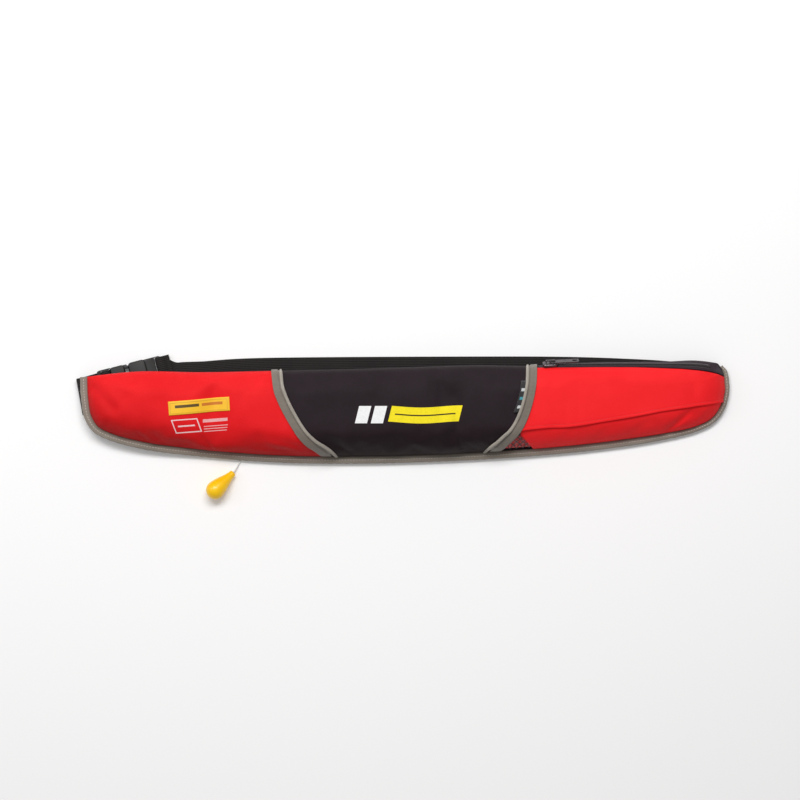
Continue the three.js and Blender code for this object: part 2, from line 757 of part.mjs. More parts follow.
// Folded bladder that fills the pouch
const fillPlace = between(
  bottomBorder(LEFT_CORNER, RIGHT_CORNER),
  overX(topOver, crevice(0).x, crevice(PANEL_END).x),
  (v) => crevice(mix(LEFT_CORNER, 0, v)),
  (v) => crevice(mix(RIGHT_CORNER, PANEL_END, v)),
);
const within = (steps, from, to) => steps.map((t) => mix(from, to, t));
const fillRings = within(evenSteps(26), 0.045, 0.955).map((u) => {
  const places = within(evenSteps(6), 0.2, 0.8).map((v) => fillPlace(u, v));
  const lower = (p) => new THREE.Vector3(p.x, p.y, backHeight(p.x, p.y) + FABRIC + FILL_BELOW);
  const upper = (p) => new THREE.Vector3(p.x, p.y, frontHeight(p.x, p.y) - FABRIC - FILL_ABOVE);
  return [...places.map(lower), ...places.map(upper).reverse()];
});
add("folded_bladder", ringBar(fillRings), COLORS.bladder);

// Zip: a coil along the gusset, a slider on its left end and a pull that hinges on the slider's bridge
const coilLine = (x) => mix(seamOver(x), topOver(x), 0.5);
const coilEnds = COIL_ENDS.map(along);
add(
  "zip_coil",
  clothWall({
    face: frontHeight,
    us: evenSteps(16),
    vs: evenSteps(2),
    wall: COIL_HEIGHT,
    lift: () => TRIM_SEAT + COIL_HEIGHT,
    place: (u, v) => {
      const x = mix(coilEnds[0], coilEnds[1], u);
      return new THREE.Vector2(x, coilLine(x) + (v - 0.5) * COIL_WIDTH * 0.7);
    },
  }),
  COLORS.coil,
);

// The slider's own frame: X along the zip, Z out of the pack's face
const sliderX = along(SLIDER_PLACE);
const sliderY = coilLine(sliderX);
const sliderBase = new THREE.Vector3(sliderX, sliderY, frontHeight(sliderX, sliderY));
const faceSlope = frontHeight(sliderX, sliderY + 0.5) - frontHeight(sliderX, sliderY - 0.5); // over 1 mm
const faceNormal = new THREE.Vector3(0, -faceSlope, 1).normalize();
const zipWay = new THREE.Vector3(1, 0, 0).applyAxisAngle(faceNormal, radians(SLIDER_SKEW));
const zipAcross = faceNormal.clone().cross(zipWay);
const sliderFrame = new THREE.Matrix4().makeBasis(zipWay, zipAcross, faceNormal).setPosition(sliderBase);

const plateLow = GAP * 2;
const plateTop = plateLow + SLIDER_PLATE * 2;
const pinHeight = plateTop + PULL_CLEARANCE + PULL_THICKNESS / 2;
const bridgeInner = pinHeight + PULL_THICKNESS / 2 + PULL_CLEARANCE;
const sliderEnd = SLIDER_LENGTH / 2;
const sliderSide = SLIDER_WIDTH / 2;
const bridgeEnd = BRIDGE_LENGTH / 2;
const bridgeSide = BRIDGE_WIDTH / 2;
const bridgeGap = bridgeEnd - BRIDGE_BAR;
const sliderSolid = cutBy(
  joined(
    roundedPlate(-sliderEnd, sliderEnd, -sliderSide, sliderSide, SLIDER_CORNER, plateLow, plateTop, 0.4),
    box(-bridgeEnd, bridgeEnd, -bridgeSide, bridgeSide, plateTop - 0.5, bridgeInner + BRIDGE_BAR),
  ),
  box(-bridgeGap, bridgeGap, -BRIDGE_WIDTH, BRIDGE_WIDTH, plateTop, bridgeInner),
);
add("zip_slider", fromSolid(sliderSolid), COLORS.slider, 0.4, 0.8).applyMatrix4(sliderFrame);

// The pull: a plate with a slot that straddles the bridge, so its end bar passes under the bridge
const pullSlot = bridgeEnd + PULL_CLEARANCE * 2;
const slotSide = bridgeSide + PULL_CLEARANCE;
const pinHalf = PULL_THICKNESS / 2;
const holeTo = PULL_LENGTH - PULL_HOLE_RIM;
const holeSide = PULL_HOLE_WIDTH / 2;
const pullSolid = cutBy(
  joined(roundedPlate(-pinHalf, PULL_LENGTH, -PULL_WIDTH / 2, PULL_WIDTH / 2, pinHalf, -pinHalf, pinHalf)),
  box(pinHalf, pullSlot, -slotSide, slotSide, -PULL_THICKNESS, PULL_THICKNESS),
  roundedPlate(
    holeTo - PULL_HOLE_LENGTH, holeTo, -holeSide, holeSide, holeSide - 0.1, -PULL_THICKNESS, PULL_THICKNESS,
  ),
);
const pull = add("zip_pull_tab", fromSolid(pullSolid), COLORS.pull, 0.35, 0.85);
pull.position.z = pinHeight;
pull.updateMatrix();
pull.applyMatrix4(sliderFrame);

// Buckle, in its own frame: X from the strap end to the belt end, Z up from the ground
const buckleFrame = new THREE.Matrix4()
  .makeRotationZ(radians(BUCKLE_TILT))
  .setPosition(buckleEnd.x, buckleEnd.y, 0);
const slotHalf = STRAP_WIDTH / 2 + STRAP_SIDE_PLAY;
const frameLow = STRAP_THICKNESS + GAP * 2;
const frameTop = frameLow + FRAME_THICKNESS;
const halfWidth = BUCKLE_WIDTH / 2;
const slot1 = [BAR_WIDTH, BAR_WIDTH + SLOT_WIDTH];
const slot2 = [slot1[1] + BAR_WIDTH, slot1[1] + BAR_WIDTH + SLOT_WIDTH];
const baseFrom = slot2[1];
const baseTo = baseFrom + BUCKLE_LENGTH * 0.22;
const mouth = baseTo + BUCKLE_LENGTH * 0.06;
const shellTo = mouth + BUCKLE_LENGTH * 0.27;
const windowFrom = mouth + 3;
const windowTo = shellTo - 6;
const cavityHalf = halfWidth - BUCKLE_WALL;
const baseSide = halfWidth - 0.2;

function prong(side) {
  const outline = new THREE.Shape();
  const rows = [
    [baseTo - 2, cavityHalf - 3.4],
    [baseTo - 2, halfWidth - 0.6],
    [mouth - 2, halfWidth - 0.6],
    [mouth - GAP, cavityHalf - GAP * 2],
    [windowFrom - 1, cavityHalf - GAP * 2],
    [windowFrom + 1.4, halfWidth - 1],
    [windowTo - 4, halfWidth - 0.6],
    [windowTo - 1, cavityHalf - 5],
    [windowTo - 2, cavityHalf - 8],
    [windowTo - 7, cavityHalf - 4.5],
    [mouth - 1, cavityHalf - 3.8],
  ];
  const points = rows.map(([x, y]) => new THREE.Vector2(x, side * y));
  outline.setFromPoints(side > 0 ? points.reverse() : points);
  return platedShape(outline, frameLow + GAP, frameTop - GAP);
}
const maleSolid = cutBy(
  joined(
    roundedPlate(0, baseFrom + 2, -halfWidth, halfWidth, 3, frameLow, frameTop, 0.6),
    roundedPlate(baseFrom, baseTo, -baseSide, baseSide, 3, frameLow - GAP, BUCKLE_THICKNESS - 1.6, 1),
    box(baseTo - 2, windowTo - 6, -3, 3, frameLow + 1, frameTop - 1),
    prong(1),
    prong(-1),
  ),
  box(slot1[0], slot1[1], -slotHalf, slotHalf, 0, BUCKLE_THICKNESS),
  box(slot2[0], slot2[1], -slotHalf, slotHalf, 0, BUCKLE_THICKNESS),
);
add("buckle_male", fromSolid(maleSolid), COLORS.buckle, 0.5).applyMatrix4(buckleFrame);

const slot3 = [BUCKLE_LENGTH - BAR_WIDTH - SLOT_WIDTH, BUCKLE_LENGTH - BAR_WIDTH];
const femaleSolid = cutBy(
  joined(
    roundedPlate(mouth, shellTo, -halfWidth, halfWidth, 4, 0, BUCKLE_THICKNESS, 1.2),
    roundedPlate(shellTo - 4, BUCKLE_LENGTH, -halfWidth + 0.5, halfWidth - 0.5, 3, frameLow, frameTop, 0.6),
  ),
  box(mouth - 1, windowTo + GAP, -cavityHalf, cavityHalf, BUCKLE_WALL, BUCKLE_THICKNESS - BUCKLE_WALL),
  box(windowFrom, windowTo, cavityHalf - 3, halfWidth + 1, BUCKLE_WALL, BUCKLE_THICKNESS - BUCKLE_WALL),
  box(windowFrom, windowTo, -halfWidth - 1, -cavityHalf + 3, BUCKLE_WALL, BUCKLE_THICKNESS - BUCKLE_WALL),
  box(slot3[0], slot3[1], -slotHalf, slotHalf, -1, BUCKLE_THICKNESS + 1),
);
add("buckle_female", fromSolid(femaleSolid), COLORS.buckle, 0.5).applyMatrix4(buckleFrame);

// Side strap: sewn under the back, folded at the left end and threaded over the buckle's middle bar
const onFloor = STRAP_THICKNESS / 2;
const overFrame = frameTop + GAP + STRAP_THICKNESS / 2;
const wayOf = (degrees) => new THREE.Vector3(Math.cos(radians(degrees)), Math.sin(radians(degrees)), 0);
const acrossOf = (degrees) => wayOf(degrees + 90);
const foldAxis = new THREE.Vector3(foldEdge.x, foldEdge.y, onFloor + FOLD_RADIUS).addScaledVector(
  wayOf(FOLD_TILT),
  FOLD_RADIUS + STRAP_THICKNESS / 2,
);
const strapPath = [];
const strapSides = [];
function strapTo(point, degrees) {
  strapPath.push(point);
  strapSides.push(acrossOf(degrees));
}
const anchorHeight = BUCKLE_THICKNESS + GAP + STRAP_THICKNESS / 2;
const onAnchor = (distance, height) => {
  const point = foldAxis.clone().addScaledVector(wayOf(anchorWay), distance);
  point.z = height;
  return point;
};
strapTo(onAnchor(ANCHOR_LENGTH, anchorHeight), anchorWay);
strapTo(onAnchor(ANCHOR_LENGTH / 2, anchorHeight), anchorWay);
strapTo(onAnchor(FOLD_RADIUS * 4.6, anchorHeight), anchorWay);
strapTo(onAnchor(FOLD_RADIUS * 1.6, onFloor + FOLD_RADIUS * 2 + 0.3), anchorWay);
for (const turn of [90, 115, 140, 165, 190, 215, 240, 265]) {
  const point = foldAxis.clone().addScaledVector(wayOf(FOLD_TILT), FOLD_RADIUS * Math.cos(radians(turn)));
  point.z += FOLD_RADIUS * Math.sin(radians(turn));
  strapTo(point, FOLD_TILT);
}
const inBuckle = (x, z) => new THREE.Vector3(x, 0, z).applyMatrix4(buckleFrame);
const slotMiddle = (slot) => (slot[0] + slot[1]) / 2;
const bend = STRAP_BEND * 0.6;
strapTo(inBuckle(-1, onFloor), BUCKLE_TILT);
strapTo(inBuckle(slotMiddle(slot1) - bend, onFloor + 0.2), BUCKLE_TILT);
strapTo(inBuckle(slotMiddle(slot1), frameLow + 0.4), BUCKLE_TILT);
strapTo(inBuckle(slotMiddle(slot1), frameTop - 0.2), BUCKLE_TILT);
strapTo(inBuckle(slotMiddle(slot1) + bend, overFrame), BUCKLE_TILT);
strapTo(inBuckle(slotMiddle(slot2) - bend, overFrame), BUCKLE_TILT);
strapTo(inBuckle(slotMiddle(slot2), frameTop - 0.2), BUCKLE_TILT);
strapTo(inBuckle(slotMiddle(slot2), frameLow + 0.4), BUCKLE_TILT);
strapTo(inBuckle(slotMiddle(slot2) + bend, onFloor + 0.2), BUCKLE_TILT);
strapTo(inBuckle(baseTo, onFloor), BUCKLE_TILT);
add("side_strap", webbing(strapPath, (i) => strapSides[i]), COLORS.webbing);

// Belt: its sewn tail lies on top, then it passes round the buckle's end bar and along behind the pack
const beltPath = [];
const beltSides = [];
function beltTo(point, across) {
  beltPath.push(point);
  beltSides.push(across);
}
const squareOn = acrossOf(BUCKLE_TILT);
const tailHeight = STRAP_THICKNESS * 1.5 + GAP * 2;
beltTo(inBuckle(BUCKLE_LENGTH + TAIL_LENGTH, tailHeight), squareOn);
beltTo(inBuckle(BUCKLE_LENGTH + TAIL_LENGTH * 0.5, tailHeight + 0.6), squareOn);
beltTo(inBuckle(BUCKLE_LENGTH + 0.6, overFrame - 0.4), squareOn);
beltTo(inBuckle(slotMiddle(slot3) + bend, overFrame), squareOn);
beltTo(inBuckle(slotMiddle(slot3), frameTop - 0.2), squareOn);
beltTo(inBuckle(slotMiddle(slot3), frameLow + 0.4), squareOn);
beltTo(inBuckle(slotMiddle(slot3) + bend, onFloor + 0.2), squareOn);
beltTo(inBuckle(BUCKLE_LENGTH + 1, onFloor), squareOn);
const beltCurve = new THREE.SplineCurve(BELT_LINE.map(inPlan));
for (const t of evenSteps(36).slice(1)) {
  const point = beltCurve.getPoint(t);
  const tangent = beltCurve.getTangent(t);
  const across = new THREE.Vector3(-tangent.y, tangent.x, 0);
  const turned = across.clone().lerp(squareOn, 1 - smooth(0, 0.12, t));
  beltTo(new THREE.Vector3(point.x, point.y, onFloor), turned);
}
add("belt_webbing", webbing(beltPath, (i) => beltSides[i]), COLORS.webbing);

// Pull cord out of an eyelet in the back, and the knob that lies on the ground beside the pack
const backAtEyelet = backHeight(eyelet.x, eyelet.y);
const eyeletRing = new THREE.LatheGeometry(
  [
    new THREE.Vector2(CORD_DIAMETER, 0),
    new THREE.Vector2(EYELET_RADIUS, 0),
    new THREE.Vector2(EYELET_RADIUS, EYELET_THICKNESS * 0.5),
    new THREE.Vector2(EYELET_RADIUS * 0.7, EYELET_THICKNESS),
    new THREE.Vector2(CORD_DIAMETER, EYELET_THICKNESS),
    new THREE.Vector2(CORD_DIAMETER, 0),
  ],
  16,
);
eyeletRing.rotateX(-Math.PI / 2).translate(eyelet.x, eyelet.y, backAtEyelet - EYELET_SEAT);
add("cord_eyelet", eyeletRing, COLORS.eyelet, 0.5);

const neck = inPlan(KNOB_NECK);
const knobRows = [
  { along: 0, radius: KNOB_NECK_RADIUS * 0.86 },
  { along: 0.02, radius: KNOB_NECK_RADIUS },
  { along: 0.2, radius: mix(KNOB_NECK_RADIUS, KNOB_RADIUS, 0.2) },
  { along: 0.36, radius: mix(KNOB_NECK_RADIUS, KNOB_RADIUS, 0.5) },
  { along: 0.52, radius: mix(KNOB_NECK_RADIUS, KNOB_RADIUS, 0.8) },
  { along: 0.64, radius: mix(KNOB_NECK_RADIUS, KNOB_RADIUS, 0.95) },
  { along: 0.74, radius: KNOB_RADIUS },
  { along: 0.85, radius: KNOB_RADIUS * 0.9 },
  { along: 0.94, radius: KNOB_RADIUS * 0.62 },
  { along: 0.985, radius: KNOB_RADIUS * 0.3 },
];
// It rests on its neck and on the bulb, so it leans by the steepest line from the neck to its side.
const neckRow = knobRows[1];
const slopeFromNeck = (row) => (row.radius - neckRow.radius) / ((row.along - neckRow.along) * KNOB_LENGTH);
const knobSlope = Math.max(...knobRows.slice(2).map(slopeFromNeck));
const knobPitch = Math.atan(knobSlope);
const neckHeight = neckRow.radius * Math.cos(knobPitch) + KNOB_PLAY;
const knobProfile = [
  new THREE.Vector2(0, 0),
  ...knobRows.map((row) => new THREE.Vector2(row.radius, row.along * KNOB_LENGTH)),
  new THREE.Vector2(0, KNOB_LENGTH),
];
const knobWay = wayOf(KNOB_TURN).multiplyScalar(Math.cos(knobPitch));
knobWay.z = Math.sin(knobPitch);
const knob = add("pull_knob", new THREE.LatheGeometry(knobProfile, 14), COLORS.knob, 0.35);
const neckPoint = new THREE.Vector3(neck.x, neck.y, neckHeight);
const knobTurn = new THREE.Quaternion().setFromUnitVectors(new THREE.Vector3(0, 1, 0), knobWay);
knob.applyMatrix4(new THREE.Matrix4().makeRotationFromQuaternion(knobTurn).setPosition(neckPoint));
freeCord.add("pull_knob");

const cordStart = new THREE.Vector3(eyelet.x, eyelet.y, backAtEyelet - FABRIC);
const cordEnd = neckPoint.clone().addScaledVector(knobWay, -GAP);
const cordLow = CORD_DIAMETER / 2 + KNOB_PLAY;
// Route of the cord. way: share of the way from the eyelet to the knob's neck; aside: to the right of
// that straight line, and up: above the cord's lowest run, both as shares of the tunnel's height.
const CORD_ROUTE = [
  { way: 0.004, aside: 0.0, up: 0.47 },
  { way: 0.0375, aside: 0.02, up: 0.23 },
  { way: 0.13, aside: 0.07, up: 0.04 },
  { way: 0.289, aside: 0.13, up: 0.0 },
  { way: 0.453, aside: 0.17, up: 0.0 },
  { way: 0.61, aside: 0.19, up: 0.0 },
  { way: 0.759, aside: 0.16, up: 0.04 },
  { way: 0.893, aside: 0.09, up: 0.176 },
];
const toNeck = neck.clone().sub(eyelet);
const besideCord = new THREE.Vector2(-toNeck.y, toNeck.x).normalize();
const cordPoints = CORD_ROUTE.map(({ way, aside, up }) => {
  const place = eyelet.clone().addScaledVector(toNeck, way).addScaledVector(besideCord, aside * CORD_TUNNEL);
  return new THREE.Vector3(place.x, place.y, cordLow + up * CORD_TUNNEL);
});
const cordCurve = new THREE.CatmullRomCurve3([cordStart, ...cordPoints, cordEnd]);
const cordSection = new THREE.Shape();
cordSection.absarc(0, 0, CORD_DIAMETER / 2, 0, Math.PI * 2);
add(
  "pull_cord",
  new THREE.ExtrudeGeometry(cordSection, { extrudePath: cordCurve, steps: 10, curveSegments: 4 }),
  COLORS.cord,
  0.6,
);
freeCord.add("pull_cord");

// The pack lies with the middle of its outline at the origin, the cord and knob not counted.
const root = new THREE.Group();
root.add(pack);
root.updateMatrixWorld(true);
const outline = new THREE.Box3();
for (const mesh of pack.children) {
  if (!freeCord.has(mesh.name)) outline.expandByObject(mesh, true);
}
const middle = outline.getCenter(new THREE.Vector3());
pack.position.set(-middle.x, -middle.y, -outline.min.z);

export default root;
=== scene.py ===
import math

import bmesh
import bpy
import numpy as np
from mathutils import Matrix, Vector
from mathutils.kdtree import KDTree


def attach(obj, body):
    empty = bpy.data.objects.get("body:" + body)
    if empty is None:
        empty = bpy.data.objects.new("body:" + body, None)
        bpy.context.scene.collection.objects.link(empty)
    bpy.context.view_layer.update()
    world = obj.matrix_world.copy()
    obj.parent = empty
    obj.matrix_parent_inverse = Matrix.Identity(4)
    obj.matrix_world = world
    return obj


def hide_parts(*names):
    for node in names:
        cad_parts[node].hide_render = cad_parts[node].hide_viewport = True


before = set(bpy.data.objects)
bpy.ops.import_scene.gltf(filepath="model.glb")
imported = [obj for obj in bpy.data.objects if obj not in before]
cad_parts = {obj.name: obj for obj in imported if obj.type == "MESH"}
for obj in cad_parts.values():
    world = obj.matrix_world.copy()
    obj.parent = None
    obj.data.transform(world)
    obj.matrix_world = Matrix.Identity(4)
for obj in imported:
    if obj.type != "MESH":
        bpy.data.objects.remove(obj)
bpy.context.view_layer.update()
scene = bpy.context.scene
MM = 0.001


# Camera and studio
# The pack lies on its back on a white table and is seen from straight above, its top edge away from
# the viewer. Broad soft light comes from beyond that edge, and the white room fills the shadows.
VIEW_MIDDLE = (-0.0031, 0.0104)
VIEW_WIDTH = 0.860
CAMERA_HEIGHT = 4.0
SENSOR = 36.0

camera_data = bpy.data.cameras.new("camera")
camera_data.sensor_width = SENSOR
camera_data.lens = SENSOR * (CAMERA_HEIGHT - 20 * MM) / VIEW_WIDTH
camera = bpy.data.objects.new("camera", camera_data)
camera.location = (*VIEW_MIDDLE, CAMERA_HEIGHT)
scene.collection.objects.link(camera)
scene.camera = camera


def add_softbox(name, place, size, power):
    light = bpy.data.lights.new(name, "AREA")
    light.shape = "RECTANGLE"
    light.size, light.size_y = size
    light.energy = power
    lamp = bpy.data.objects.new(name, light)
    lamp.location = place
    lamp.rotation_euler = (-Vector(place)).to_track_quat("-Z", "Y").to_euler()
    scene.collection.objects.link(lamp)


add_softbox("key_softbox", (-0.2, 1.15, 2.0), (1.9, 0.7), 44.5)
add_softbox("side_softbox", (-1.9, 0.5, 1.6), (1.0, 1.2), 6)

room = bpy.data.worlds.new("white_room")
room.use_nodes = True
room.node_tree.nodes["Background"].inputs["Color"].default_value = (1.0, 1.0, 1.0, 1)
room.node_tree.nodes["Background"].inputs["Strength"].default_value = 0.3
scene.world = room
scene.view_settings.view_transform = "Standard"


class Sock:
    """A node's output that can stand in a sum: each operator adds its Math node."""

    def __init__(self, tree, out):
        self.tree, self.out = tree, out

    def maths(self, operation, *values):
        return self.tree.node("ShaderNodeMath", {"operation": operation}, values)

    def __add__(self, other):
        return self.maths("ADD", self, other)

    def __sub__(self, other):
        return self.maths("SUBTRACT", self, other)

    def __rsub__(self, other):
        return self.maths("SUBTRACT", other, self)

    def __mul__(self, other):
        return self.maths("MULTIPLY", self, other)

    def __gt__(self, other):
        return self.maths("GREATER_THAN", self, other)

    def __lt__(self, other):
        return self.maths("LESS_THAN", self, other)

    __radd__ = __add__
    __rmul__ = __mul__

    def sine(self):
        return self.maths("SINE", self)


class Tree:
    """A node tree with one method that adds any node."""

    def __init__(self, tree):
        self.tree = tree

    def node(self, kind, settings=None, sockets=(), out=0):
        made = self.tree.nodes.new(kind)
        for key, value in (settings or {}).items():
            setattr(made, key, value)
        pairs = sockets.items() if isinstance(sockets, dict) else enumerate(sockets)
        for key, value in pairs:
            self.feed(made.inputs[key], value)
        return Sock(self, made.outputs[out])

    def feed(self, socket, value):
        if isinstance(value, Sock):
            self.tree.links.new(value.out, socket)
        else:
            socket.default_value = value


def rgb(red, green, blue):
    """A colour given as it looks on a screen, 0 to 255."""
    def linear(part):
        part /= 255
        return part / 12.92 if part <= 0.04045 else ((part + 0.055) / 1.055) ** 2.4
    return (linear(red), linear(green), linear(blue), 1)


class Finish(Tree):
    """A material: its fixed numbers are set on the shader, and what varies is fed to it."""

    def __init__(self, name, **fixed):
        self.material = bpy.data.materials.new(name)
        self.material.use_nodes = True
        super().__init__(self.material.node_tree)
        self.shader = self.tree.nodes["Principled BSDF"]
        for key, value in fixed.items():
            self.shader.inputs[key.replace("_", " ")].default_value = value

    def mix(self, share, one, other):
        return self.node("ShaderNodeMix", {"data_type": "RGBA"}, {0: share, 6: one, 7: other}, out=2)

    def noise(self, scale, detail=3.0, roughness=0.55):
        sockets = {"Vector": self.coordinates(), "Scale": scale, "Detail": detail, "Roughness": roughness}
        return self.node("ShaderNodeTexNoise", None, sockets)

    def coordinates(self, which="Object"):
        return self.node("ShaderNodeTexCoord", out=which)

    def parts(self, which="Object"):
        where = self.coordinates(which)
        return [self.node("ShaderNodeSeparateXYZ", None, [where], out=axis) for axis in range(3)]

    def color(self, value):
        self.feed(self.shader.inputs["Base Color"], value)

    def colors(self, share, one, other):
        self.color(self.mix(share, one, other))

    def roughness(self, value):
        self.feed(self.shader.inputs["Roughness"], value)

    def bump(self, height, depth, strength=1.0):
        sockets = {"Strength": strength, "Distance": depth, "Height": height}
        self.feed(self.shader.inputs["Normal"], self.node("ShaderNodeBump", None, sockets))


def evaluated(obj):
    return obj.evaluated_get(bpy.context.evaluated_depsgraph_get())


def dressed(obj, finish, node=None, body="pack"):
    """Turns a piece into a plain mesh in its finish, says what it rides on, and hides the frame's solid that
    it takes the place of.
    """
    if obj.modifiers:
        made = bpy.data.meshes.new_from_object(evaluated(obj))
        obj.modifiers.clear()
        obj.data = made
    obj.data.materials.clear()
    obj.data.materials.append(finish.material)
    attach(obj, body)
    if node:
        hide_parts(node)
    return obj


def linked(name, mesh):
    obj = bpy.data.objects.new(name, mesh)
    scene.collection.objects.link(obj)
    return obj


def grid(name, points, uv, round_v=False, capped=False):
    """A smooth piece from rows of points, with its cloth's own measures as the UV map."""
    count_u, count_v = points.shape[:2]
    index = np.arange(count_u * count_v).reshape(count_u, count_v)
    across = np.concatenate([index, index[:, :1]], axis=1) if round_v else index
    faces = np.stack([across[:-1, :-1], across[1:, :-1], across[1:, 1:], across[:-1, 1:]], axis=-1)
    faces = faces.reshape(-1, 4).tolist()
    if capped:
        faces += [index[0].tolist(), index[-1][::-1].tolist()]
    mesh = bpy.data.meshes.new(name)
    mesh.from_pydata(points.reshape(-1, 3).tolist(), [], faces)
    flat_uv = uv.reshape(-1, 2)
    corners = np.array([loop.vertex_index for loop in mesh.loops])
    layer = mesh.uv_layers.new(name="cloth")
    layer.data.foreach_set("uv", flat_uv[corners].astype(np.float32).ravel())
    mesh.polygons.foreach_set("use_smooth", [True] * len(mesh.polygons))
    mesh.update()
    return linked(name, mesh)


table = grid(
    "table",
    np.array([[[x, y, -0.3 * MM] for y in (-4.0, 4.0)] for x in (-4.0, 4.0)]),
    np.zeros((2, 2, 2)),
)
table_white = Finish("table_white", Roughness=0.75, Emission_Color=(1, 1, 1, 1), Emission_Strength=0.1)
table_white.color(rgb(243, 242, 242))
table.data.materials.append(table_white.material)


# Pull cord and knob
# A thin white braided cord comes out of an eyelet in the back, passes under the bound edge and ends in
# a moulded yellow knob, a long teardrop with its neck on the cord. Both lie on the table.
PACK_LENGTH = 700 * MM
PACK_HEIGHT = 104 * MM
PACK_MIDDLE = 2.24 * MM


def along(share):
    """Place along the pack, from a share of its length."""
    return (np.asarray(share) - 0.5) * PACK_LENGTH + PACK_MIDDLE


def up(share):
    """Place across the pack, from a share of its height."""
    return np.asarray(share) * PACK_HEIGHT - 58.28 * MM


def run_of(line):
    """Distance along a line at each of its points."""
    return np.concatenate([[0], np.cumsum(np.linalg.norm(np.diff(line, axis=0), axis=1))])


def unit(vectors):
    return vectors / np.linalg.norm(vectors, axis=-1, keepdims=True)


def curve_through(points, spacing):
    """A smooth line through the points, as points an even distance apart."""
    p = np.asarray(points, float)
    p = np.vstack([2 * p[0] - p[1], p, 2 * p[-1] - p[-2]])
    pieces = []
    for i in range(1, len(p) - 2):
        d0, d1, d2 = (max(np.linalg.norm(p[i + k] - p[i + k - 1]), 1e-7) ** 0.5 for k in (0, 1, 2))
        step = p[i + 1] - p[i]
        start = ((p[i] - p[i - 1]) / d0 - (p[i + 1] - p[i - 1]) / (d0 + d1) + step / d1) * d1
        stop = (step / d1 - (p[i + 2] - p[i]) / (d1 + d2) + (p[i + 2] - p[i + 1]) / d2) * d1
        t = np.linspace(0, 1, 32, endpoint=False)[:, None]
        pieces.append(
            p[i] + start * t + (3 * step - 2 * start - stop) * t**2 + (start + stop - 2 * step) * t**3)
    line = np.vstack([*pieces, p[-2:-1]])
    run = run_of(line)
    steps = np.linspace(0, run[-1], max(int(round(run[-1] / spacing)), 2) + 1)
    return np.stack([np.interp(steps, run, line[:, axis]) for axis in range(line.shape[1])], axis=1)


ASKEW = (0.31, 0.17, 0.94)  # a way that no tube here runs in
CORD_DIAMETER = 1.8 * MM
KNOB_LENGTH = 37.5 * MM
KNOB_RADIUS = 10 * MM
KNOB_NECK_RADIUS = 3.7 * MM
KNOB_NECK = Vector((-183.12, -68.21, 3.67)) * MM
KNOB_WAY = Vector((-0.69468, -0.67085, 0.25959))
EYELET = np.array([along(0.2575), up(0.235)])
CORD_POINTS = [  # millimetres from the eyelet, and height above the table
    (0.0, 0.0, 6.40),
    (-0.06, -0.14, 4.48),
    (-0.45, -1.35, 2.70),
    (-1.56, -4.68, 1.30),
    (-3.63, -10.33, 1.00),
    (-5.92, -16.09, 1.00),
    (-8.24, -21.55, 1.00),
    (-10.76, -26.58, 1.30),
    (-13.32, -30.97, 2.30),
    (-15.42, -34.16, 3.60),
]


def tube(name, line, radius, sides=16):
    """A round tube along a line, capped, with its length and girth as the UV map."""
    line = np.asarray(line)
    run = run_of(line)
    tangent = unit(np.gradient(line, axis=0))
    side = unit(np.cross(tangent, ASKEW))
    rise = np.cross(side, tangent)
    turn = np.linspace(0, 2 * math.pi, sides, endpoint=False)
    radii = np.broadcast_to(radius, len(line))[:, None, None]
    ring = side[:, None] * np.cos(turn)[None, :, None] + rise[:, None] * np.sin(turn)[None, :, None]
    uv = np.stack(np.broadcast_arrays(run[:, None], turn[None, :] / (2 * math.pi)), axis=-1)
    return grid(name, line[:, None] + ring * radii, uv, round_v=True, capped=True)


cord_line = curve_through([(EYELET[0] + x * MM, EYELET[1] + y * MM, z * MM) for x, y, z in CORD_POINTS], MM)
cord = tube("pull_cord_braid", cord_line, CORD_DIAMETER / 2)

cord_white = Finish("braided_cord", Roughness=0.8, Sheen_Weight=0.25)
run, girth, _ = cord_white.parts("UV")
strands = (run * 3600 + girth * 12.566).sine() * (run * 3600 - girth * 12.566).sine()
cord_white.colors(strands * 0.5 + 0.5, rgb(226, 224, 218), rgb(252, 252, 250))
cord_white.bump(strands, 0.15 * MM)
dressed(cord, cord_white, "pull_cord")

knob_rows = [(0.0, 0.78), (0.015, 0.94), (0.04, 1.0), (0.1, 1.08), (0.2, 1.33), (0.36, 1.84), (0.52, 2.35),
             (0.64, 2.60), (0.74, 2.69), (0.85, 2.42), (0.94, 1.67), (0.985, 0.80), (1.0, 0.02)]
knob_line = curve_through([(s * KNOB_LENGTH, r * KNOB_NECK_RADIUS) for s, r in knob_rows], 0.6 * MM)
KNOB_SIDES = 64
knob_turns = np.linspace(0, 2 * math.pi, KNOB_SIDES, endpoint=False)
seam = 1 + 0.022 * np.exp(-((np.sin(knob_turns - 0.9) / 0.05) ** 2))
knob_side = KNOB_WAY.cross(Vector((0, 0, 1))).normalized()
knob_rise = knob_side.cross(KNOB_WAY)
knob_points = (
    np.array(KNOB_NECK)
    + knob_line[:, None, :1] * np.array(KNOB_WAY)
    + (knob_line[:, None, 1:] * (np.cos(knob_turns) * seam)[None, :, None]) * np.array(knob_side)
    + (knob_line[:, None, 1:] * (np.sin(knob_turns) * seam)[None, :, None]) * np.array(knob_rise)
)
knob_points = np.concatenate([np.broadcast_to(KNOB_NECK, (1, KNOB_SIDES, 3)) + np.array(KNOB_WAY) * 1.2 * MM
                              + (knob_points[:1] - np.array(KNOB_NECK)) * 0.45, knob_points])
knob_uv = np.zeros((*knob_points.shape[:2], 2))
knob = grid("pull_knob_moulded", knob_points, knob_uv, round_v=True, capped=True)

